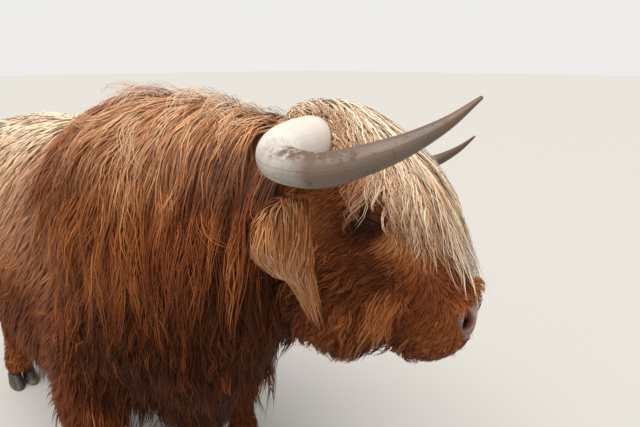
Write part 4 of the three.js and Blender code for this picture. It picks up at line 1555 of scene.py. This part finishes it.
class BULL_OT_ear_coat(Make, bpy.types.Operator):
    """Covers both ears with hair that streams out and hangs in a point below them"""

    bl_idname = "bull.ear_coat"
    bl_label = "Ear coats"

    def make(self):
        rng = rng_for("ears")
        hanging = [
            from_head((0.380, -0.250, side * 0.135)) + FALL * 0.034 for side in SIDES.values()
        ]

        def density(points, normals):
            left = on_head(points)[:, 2]
            return body().of(points, "ear") ** 1.2 * ease(np.abs(left), 0.150, 0.178)

        def end_of(points):
            """Where the hair of the ear at these points gathers."""
            left = on_head(points)[:, 2:]
            return np.where(left > 0, *hanging)

        def flow(points, up, s):
            side = np.sign(on_head(points)[:, 2:])
            to_end = end_of(points) - points
            far = np.linalg.norm(to_end, axis=1, keepdims=True)
            pull = unit(to_end) * ease(far, 0.01, 0.06) + FALL * 0.32
            high = ease(points[:, 2:], 1.08, 1.16)
            way = unit(pull) + HEAD_LEFT * side * (0.75 * high * (1 - s))
            return unit(unit(way) + np.cross(up, FALL) * (0.24 * wavy(points, 21.0, 95))[:, None])

        root, out = sow(1500, density, rng)
        to_end = np.linalg.norm(end_of(root) - root, axis=1)
        reach = 0.06 + 0.24 * rng.uniform(0, 1, len(root)) ** 1.4
        reach = np.minimum(reach, to_end * rng.uniform(0.85, 1.02, len(root)))
        tufts = Tufts(root, out, rng, reach, 6, flow, layers=(0.3, 0.9), lift=0.35,
                      wander=0.10, slack=0.016, loose=0.0)
        hair = tufts.split(6, 0.011, 0.0024, gather=0.6, wave=0.004, turns=1.1)
        down, off, left = on_head(hair.line[:, 0]).T
        patch = np.stack([left, np.arctan2(off + 0.15, down - 0.17)], axis=1)
        finish_coat("coat_ears", tufts, hair, tufts.tones(0.9), patch, LOCK_LOOK,
                    paler_tips_and_highlight=0.16, tuft_vary=0.08)


class BULL_OT_tail_coat(Make, bpy.types.Operator):
    """Covers the tail and hangs the switch from its end"""

    bl_idname = "bull.tail_coat"
    bl_label = "Tail coat"

    def make(self):
        rng = rng_for("tail")
        centre = middle("tail_switch")

        def density(points, normals):
            return (tail_core(points) < TAIL_FLESH) * (1 + 2.0 * ease(points[:, 2], 0.75, 0.60))

        def flow(points, up, s):
            inward = (centre - points) * (1.0, 1.0, 0.0) * ease(points[:, 2:], 0.66, 0.54) * 5.0 * s
            return unit(FALL + up * 0.10 * (1 - s) + inward)

        root, out = sow(1000, density, rng)
        long = ease(root[:, 2], 0.85, 0.62)
        low_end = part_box("tail_switch")[0].z
        reach = (0.06 + long * 0.24) * rng.uniform(0.7, 1.2, len(root))
        room = np.maximum(root[:, 2] - low_end, 0.05)
        reach = np.minimum(reach, room * rng.uniform(0.72, 1.0, len(root)))
        tufts = Tufts(root, out, rng, reach, 5, flow, layers=(0.2, 1.2), wander=0.06, slack=0.006)
        hair = tufts.split(6, 0.011, 0.0036, wave=0.005, turns=1.2)
        turn = np.arctan2(hair.line[:, 0, 1] - centre[1], hair.line[:, 0, 0] - centre[0])
        patch = np.stack([turn, hair.line[:, 0, 2]], axis=1)
        finish_coat("coat_tail", tufts, hair, tufts.tones(), patch, LOCK_LOOK,
                    paler_tips_and_highlight=0.12)


# ---------------------------------------------------------------- horns

# The middle of the left horn, on the head's axes, and its radius from the base to the tip.
HORN_PATH = np.array((
    (0.066, -0.050, 0.062), (0.082, -0.062, 0.190), (0.104, -0.062, 0.310), (0.132, -0.046, 0.392),
    (0.160, -0.020, 0.436), (0.186, 0.012, 0.456), (0.204, 0.056, 0.456), (0.218, 0.108, 0.442),
    (0.224, 0.163, 0.424), (0.221, 0.214, 0.408),
))
HORN_RADII = np.array((50, 49, 48, 44.5, 39.5, 31, 26, 22, 17, 10, 2.5)) / 1000
HORN_RINGS, HORN_SIDES = 150, 40
RING_GAP = 0.017  # between one growth ring and the next
BEND_AT, BEND_REACH, BEND_ROUNDS = 0.55, 0.10, 40  # where the horn turns, and how it is smoothed


def smooth_line(points, count):
    """Evenly spaced places on a smooth line through the points."""
    padded = np.concatenate([[2 * points[0] - points[1]], points, [2 * points[-1] - points[-2]]])
    t = np.linspace(0, len(points) - 1, count * 8)
    i = np.minimum(t.astype(int), len(points) - 2)
    f = (t - i)[:, None]
    a, b, c, d = (padded[i + n] for n in range(4))
    dense = 0.5 * (2 * b + (c - a) * f + (2 * a - 5 * b + 4 * c - d) * f**2
                   + (3 * b - a - 3 * c + d) * f**3)
    run = np.concatenate([[0], np.cumsum(np.linalg.norm(np.diff(dense, axis=0), axis=1))])
    even = np.linspace(0, run[-1], count)
    return np.stack([np.interp(even, run, dense[:, n]) for n in range(3)], axis=1)


def tube_faces(rings, sides):
    """Quads between rings of points, closed by fans round the two points that follow the rings."""
    ring = np.arange(rings - 1)[:, None] * sides
    n = np.arange(sides)
    after = (n + 1) % sides
    quads = np.stack([ring + n, ring + after, ring + sides + after, ring + sides + n], axis=-1)
    count = rings * sides
    last = count - sides
    fans = [(b, a, count) for a, b in zip(n.tolist(), after.tolist())]
    fans += [(last + a, last + b, count + 1) for a, b in zip(n.tolist(), after.tolist())]
    return quads.reshape(-1, 4).tolist() + fans


@lru_cache(maxsize=None)
def horn_material():
    """Horn, pale at the base, stained further out and crusted with dirt on top."""
    horn = settings("horns")
    material, nodes, shader = new_material("Horn")
    links = nodes.tree.links
    place = nodes.add("ShaderNodeTexCoord").outputs["Object"]
    along, above = nodes.value("along"), nodes.value("above")
    patchy = nodes.noise(14.0, 4.0, place)
    shifted = nodes.math("MULTIPLY_ADD", nodes.math("SUBTRACT", patchy, 0.5), 0.30, along)
    base = nodes.ramp(shifted, [
        (0.0, horn.pale), (0.48, horn.pale), (0.60, [c * 0.55 for c in horn.pale]),
        (0.70, horn.stained), (0.88, [c * 0.80 for c in horn.stained]), (1.0, horn.tip),
    ])
    streak_place = nodes.add("ShaderNodeCombineXYZ", {
        0: nodes.times(along, 5.0), 1: nodes.times(nodes.value("upward"), 9.0),
        2: nodes.math("MULTIPLY", nodes.value("across"), 9.0)}).outputs[0]
    streak = nodes.noise(1.0, 5.0, streak_place)
    streaked = nodes.times(
        nodes.span(streak, 0.45, 0.75), nodes.span(along, 0.35, 0.65, 0.06, 0.55)
    )
    base = nodes.mix(streaked, base, opaque([c * 0.35 for c in horn.stained]))
    specks = nodes.span(nodes.noise(48.0, 6.0, place, 0.75), 0.54, 0.66)
    mid = nodes.math("MULTIPLY", nodes.span(along, 0.48, 0.60), nodes.span(along, 1.0, 0.78))
    dirt = nodes.math("MULTIPLY", specks, nodes.math("MULTIPLY_ADD", mid, 0.75, 0.12))
    lumpy = nodes.span(nodes.noise(60.0, 6.0, place, 0.7), 0.42, 0.54)
    crust = nodes.times(
        nodes.span(above, 0.40, 0.80), lumpy,
        nodes.span(along, 0.54, 0.60), nodes.span(along, 0.80, 0.68),
    )
    dirt = nodes.math("MAXIMUM", dirt, crust)
    base = nodes.mix(dirt, base, opaque(horn.dirt))
    links.new(base, shader.inputs["Base Color"])
    links.new(nodes.span(dirt, 0.0, 1.0, 0.38, 0.8, "LINEAR"), shader.inputs["Roughness"])
    height = nodes.math("MULTIPLY_ADD", streak, 0.5, nodes.math("MULTIPLY", dirt, 0.8))
    bump = nodes.add("ShaderNodeBump", {"Height": height, "Strength": 0.6, "Distance": 0.0014})
    links.new(bump.outputs[0], shader.inputs["Normal"])
    set_inputs(shader, Specular_IOR_Level=0.35)
    return material


class BULL_OT_horns(Make, bpy.types.Operator):
    """Makes both horns, with their growth rings"""

    bl_idname = "bull.horns"
    bl_label = "Horns"

    def make(self):
        horn = settings("horns")
        for side, sign in SIDES.items():
            rng = rng_for(f"horn {side}")
            line = smooth_line(from_head(HORN_PATH * (1, 1, sign)), HORN_RINGS)
            s = np.linspace(0, 1, HORN_RINGS)
            radius = np.interp(s, np.linspace(0, 1, len(HORN_RADII)), HORN_RADII)
            for _ in range(8):
                radius[1:-1] = radius[1:-1] * 0.5 + (radius[2:] + radius[:-2]) * 0.25
            gaps = np.cumsum(rng.uniform(0.7, 1.3, 400)) * RING_GAP
            phase = np.interp(s, gaps, np.arange(len(gaps)))
            ripple = horn.ring_height * (np.abs(np.sin(phase * np.pi)) - 0.5) * ease(s, 0.75, 0.15)
            tangent = unit(np.gradient(line, axis=0))
            upward = unit(-FALL - tangent * dot(-FALL, tangent)[:, None])
            across = np.cross(tangent, upward)
            turn = np.arange(HORN_SIDES) / HORN_SIDES * 2 * np.pi
            cosine, sine = np.cos(turn)[None, :, None], np.sin(turn)[None, :, None]
            ring = upward[:, None] * cosine + across[:, None] * sine
            lumps = 1 + 0.012 * wavy(line[:, None] + ring * radius[:, None, None], 55.0, 11)
            reach = (radius + ripple)[:, None] * lumps
            bend = near(s, BEND_AT, BEND_REACH)[:, None, None]
            points = line[:, None] + ring * reach[..., None] * (1 + 0.06 * bend)
            for _ in range(BEND_ROUNDS):
                around = np.roll(points, 1, axis=1) + np.roll(points, -1, axis=1)
                before = np.concatenate([points[:1], points[:-1]])
                after = np.concatenate([points[1:], points[-1:]])
                points = points + ((around + (before + after)) / 4 - points) * 0.5 * bend
            ends = [line[0], line[-1] + tangent[-1] * 0.002]
            points = np.concatenate([points.reshape(-1, 3), ends])
            piece, mesh = open_mesh(f"horn_{side}_shaped")
            mesh.from_pydata(points.tolist(), [], tube_faces(HORN_RINGS, HORN_SIDES))
            mesh.update()
            fix_normals(mesh)
            mesh.shade_smooth()
            put_attribute(mesh, "along", np.append(np.repeat(s, HORN_SIDES), (0, 1)))
            put_attribute(mesh, "upward", np.append(np.tile(np.cos(turn), HORN_RINGS), (0, 0)))
            put_attribute(mesh, "across", np.append(np.tile(np.sin(turn), HORN_RINGS), (0, 0)))
            put_attribute(mesh, "above", np.append(ring[..., 2].ravel(), (0, 0)))
            mesh.materials.append(horn_material())
            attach(piece, "root")
            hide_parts(f"horn_{side}")


def fix_normals(mesh):
    """Turns all faces outwards."""
    work = bmesh.new()
    work.from_mesh(mesh)
    bmesh.ops.recalc_face_normals(work, faces=work.faces)
    work.to_mesh(mesh)
    work.free()


# ---------------------------------------------------------------- eyes


@lru_cache(maxsize=None)
def eye_material():
    """A dark eye with a long pupil."""
    face = settings("face")
    material, nodes, shader = new_material("Eye")
    links = nodes.tree.links
    x, y = nodes.value("eye_x"), nodes.value("eye_y")
    wide = nodes.times(x, 0.62)
    oval = nodes.math("SQRT", nodes.math("ADD", nodes.times(wide, wide), nodes.times(y, y)))
    round_way = nodes.math("SQRT", nodes.math("ADD", nodes.times(x, x), nodes.times(y, y)))
    fibres = nodes.noise(9.0, 4.0, nodes.add("ShaderNodeCombineXYZ", {
        0: nodes.math("MULTIPLY", nodes.math("ARCTAN2", y, x), 3.0), 1: round_way}).outputs[0])
    dark, light = ([min(c * amount, 1) for c in face.iris] for amount in (0.4, 2.2))
    iris = nodes.mix(fibres, opaque(dark), opaque(light))
    base = nodes.mix(nodes.span(oval, 0.25, 0.31), opaque((0.004, 0.004, 0.006)), iris)
    base = nodes.mix(nodes.span(round_way, 0.66, 0.78), base, opaque((0.05, 0.035, 0.03)))
    links.new(base, shader.inputs["Base Color"])
    set_inputs(shader, Roughness=0.08, Specular_IOR_Level=0.30)
    return material


class BULL_OT_eyes(Make, bpy.types.Operator):
    """Makes both eyes, each with its bulging glossy front"""

    bl_idname = "bull.eyes"
    bl_label = "Eyes"

    def make(self):
        rings, sides = 40, 56
        for side, sign in SIDES.items():
            out, along, high = eye_axes(sign)
            polar = np.linspace(0.02, np.pi - 0.02, rings)
            turn = np.arange(sides) / sides * 2 * np.pi
            bulge = EYE_RADIUS * (1 + 0.05 * ease(polar, 0.85, 0.30))
            x = np.sin(polar)[:, None] * np.cos(turn)
            y = np.sin(polar)[:, None] * np.sin(turn)
            ball = out * np.cos(polar)[:, None, None] + along * x[..., None] + high * y[..., None]
            points = EYES[side] + ball * bulge[:, None, None]
            ends = [EYES[side] + out * bulge[0], EYES[side] - out * bulge[-1]]
            points = np.concatenate([points.reshape(-1, 3), ends])
            piece, mesh = open_mesh(f"eye_{side}_ball")
            mesh.from_pydata(points.tolist(), [], tube_faces(rings, sides))
            mesh.update()
            fix_normals(mesh)
            mesh.shade_smooth()
            scale = 1 / np.sin(0.95)
            put_attribute(mesh, "eye_x", np.append(x.ravel() * scale, (0, 9)))
            put_attribute(mesh, "eye_y", np.append(y.ravel() * scale, (0, 9)))
            mesh.materials.append(eye_material())
            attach(piece, "root")
            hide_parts(f"eye_{side}")


# ---------------------------------------------------------------- claws


@lru_cache(maxsize=None)
def claw_material():
    """Claw horn, ridged, and scuffed near the ground."""
    foot = settings("feet")
    material, nodes, shader = new_material("Claw")
    links = nodes.tree.links
    place = nodes.add("ShaderNodeTexCoord").outputs["Object"]
    split = nodes.add("ShaderNodeSeparateXYZ", {0: place}).outputs
    bent = nodes.math("MULTIPLY_ADD", nodes.noise(12.0, 2.0, place), 0.010, split["Z"])
    bands = nodes.math("SINE", nodes.math("MULTIPLY", bent, 900.0))
    low = nodes.span(split["Z"], 0.035, 0.004)
    scuffed = nodes.times(low, nodes.span(nodes.noise(30.0, 5.0, place), 0.35, 0.65))
    dark, light = ([c * amount for c in foot.wall] for amount in (0.6, 1.5))
    base = nodes.mix(nodes.noise(45.0, 4.0, place), opaque(dark), opaque(light))
    base = nodes.mix(scuffed, base, opaque(foot.worn))
    links.new(base, shader.inputs["Base Color"])
    links.new(nodes.span(scuffed, 0.0, 1.0, 0.42, 0.75, "LINEAR"), shader.inputs["Roughness"])
    height = nodes.math("MULTIPLY_ADD", bands, 0.5, nodes.noise(120.0, 3.0, place))
    bump = nodes.add("ShaderNodeBump", {"Height": height, "Strength": 0.5, "Distance": 0.0008})
    links.new(bump.outputs[0], shader.inputs["Normal"])
    set_inputs(shader, Specular_IOR_Level=0.4)
    return material


class BULL_OT_claws(Make, bpy.types.Operator):
    """Rounds each claw of the four feet and gives it its ridges"""

    bl_idname = "bull.claws"
    bl_label = "Claws"

    def make(self):
        cell = 0.003
        for name in CLAWS:
            points, faces, _ = triangles([name])
            low = points.min(axis=0) - 5 * cell
            size = np.ceil((points.max(axis=0) + 5 * cell - low) / cell).astype(int) + 1
            values = distances(points, low, cell, size, 4.0, 8.0, triangles=faces)
            points, quads = surface(blurred(values, 3) - 0.0004, low, cell)
            points = relaxed(points, edges_of(quads), 3, 0.5)
            ridge = 0.0006 * np.sin(points[:, 2] * 700 + 1.5 * wavy(points, 30.0, 5))
            centre = middle(name)
            outward = unit((points - centre) * (1, 1, 0))
            points = points + outward * ridge[:, None]
            points[:, 2] = np.maximum(points[:, 2], 0.0)
            piece, mesh = open_mesh(f"{name}_shaped")
            mesh.from_pydata(points.tolist(), [], quads.tolist())
            mesh.update()
            mesh.shade_smooth()
            mesh.materials.append(claw_material())
            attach(piece, "root")
            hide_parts(name)


# ---------------------------------------------------------------- stage

FLOOR_HALF = 60.0
SUN_WAY, SUN_SPREAD = (-0.16, 0.30, -0.94), 65  # the spread in degrees
CAMERA_FROM_EYE = (0.5673, -0.7247, 0.2888)  # from the middle of the right eye
CAMERA_TURN = (73.1, 0.0, 44.24)  # in degrees


class BULL_OT_stage(Make, bpy.types.Operator):
    """Sets the floor, the light and the camera"""

    bl_idname = "bull.stage"
    bl_label = "Stage"

    def make(self):
        stage = settings("stage")
        scene = bpy.context.scene
        piece, mesh = open_mesh("floor")
        half = FLOOR_HALF
        corners = [(-half, -half, 0), (half, -half, 0), (half, half, 0), (-half, half, 0)]
        mesh.from_pydata(corners, [], [(0, 1, 2, 3)])
        material, _, shader = new_material("Floor")
        set_inputs(shader, Base_Color=opaque(stage.floor), Roughness=0.9, Specular_IOR_Level=0.1)
        mesh.materials.append(material)

        world = bpy.data.worlds.new("Studio")
        world.use_nodes = True
        tree = world.node_tree
        light = tree.nodes["Background"]
        light.inputs["Color"].default_value = (1.0, 0.97, 0.93, 1.0)
        light.inputs["Strength"].default_value = stage.sky
        seen = tree.nodes.new("ShaderNodeBackground")
        seen.inputs["Color"].default_value = opaque([c * 2.05 for c in stage.floor])
        either = tree.nodes.new("ShaderNodeMixShader")
        path = tree.nodes.new("ShaderNodeLightPath")
        tree.links.new(path.outputs["Is Camera Ray"], either.inputs[0])
        tree.links.new(light.outputs[0], either.inputs[1])
        tree.links.new(seen.outputs[0], either.inputs[2])
        tree.links.new(either.outputs[0], tree.nodes["World Output"].inputs[0])
        scene.world = world

        sun = bpy.data.lights.new("sun", "SUN")
        sun.energy = stage.sun
        sun.angle = np.radians(SUN_SPREAD)
        sun.color = (1.0, 0.97, 0.92)
        holder = bpy.data.objects.new("sun", sun)
        scene.collection.objects.link(holder)
        holder.rotation_euler = Vector(SUN_WAY).to_track_quat("-Z", "Y").to_euler()

        camera = bpy.data.cameras.new("camera")
        camera.lens = stage.lens
        camera.sensor_width = 36.0
        camera.clip_start, camera.clip_end = 0.02, 200.0
        holder = bpy.data.objects.new("camera", camera)
        scene.collection.objects.link(holder)
        holder.location = Vector(EYES["right"]) + Vector(CAMERA_FROM_EYE)
        holder.rotation_euler = np.radians(CAMERA_TURN)
        scene.camera = holder
        scene.view_settings.view_transform = "Standard"


STEPS = [
    BULL_OT_stage, BULL_OT_skin, BULL_OT_trunk_coat, BULL_OT_breast_coat, BULL_OT_mane,
    BULL_OT_leg_coat, BULL_OT_face_coat, BULL_OT_forelock, BULL_OT_beard, BULL_OT_lashes,
    BULL_OT_ear_coat, BULL_OT_tail_coat, BULL_OT_horns, BULL_OT_eyes, BULL_OT_claws,
]


class BULL_PT_panel(bpy.types.Panel):
    """Lists the steps that build the bull"""

    bl_idname = "BULL_PT_panel"
    bl_label = "Highland Bull"
    bl_space_type = "VIEW_3D"
    bl_region_type = "UI"
    bl_category = "Highland Bull"

    def draw(self, context):
        for step in STEPS:
            self.layout.operator(step.bl_idname)


def register():
    """Makes the settings, the steps and the panel known."""
    for kind in (*SETTINGS.values(), *STEPS, BULL_PT_panel):
        bpy.utils.register_class(kind)
    for name, kind in SETTINGS.items():
        setattr(bpy.types.Scene, name, bpy.props.PointerProperty(type=kind))


def unregister():
    """Takes them away again."""
    for name in SETTINGS:
        delattr(bpy.types.Scene, name)
    for kind in reversed((*SETTINGS.values(), *STEPS, BULL_PT_panel)):
        bpy.utils.unregister_class(kind)


def main():
    """Builds the bull step by step."""
    register()
    for step in STEPS:
        group, name = step.bl_idname.split(".")
        getattr(getattr(bpy.ops, group), name)()


if __name__ == "__main__":
    main()
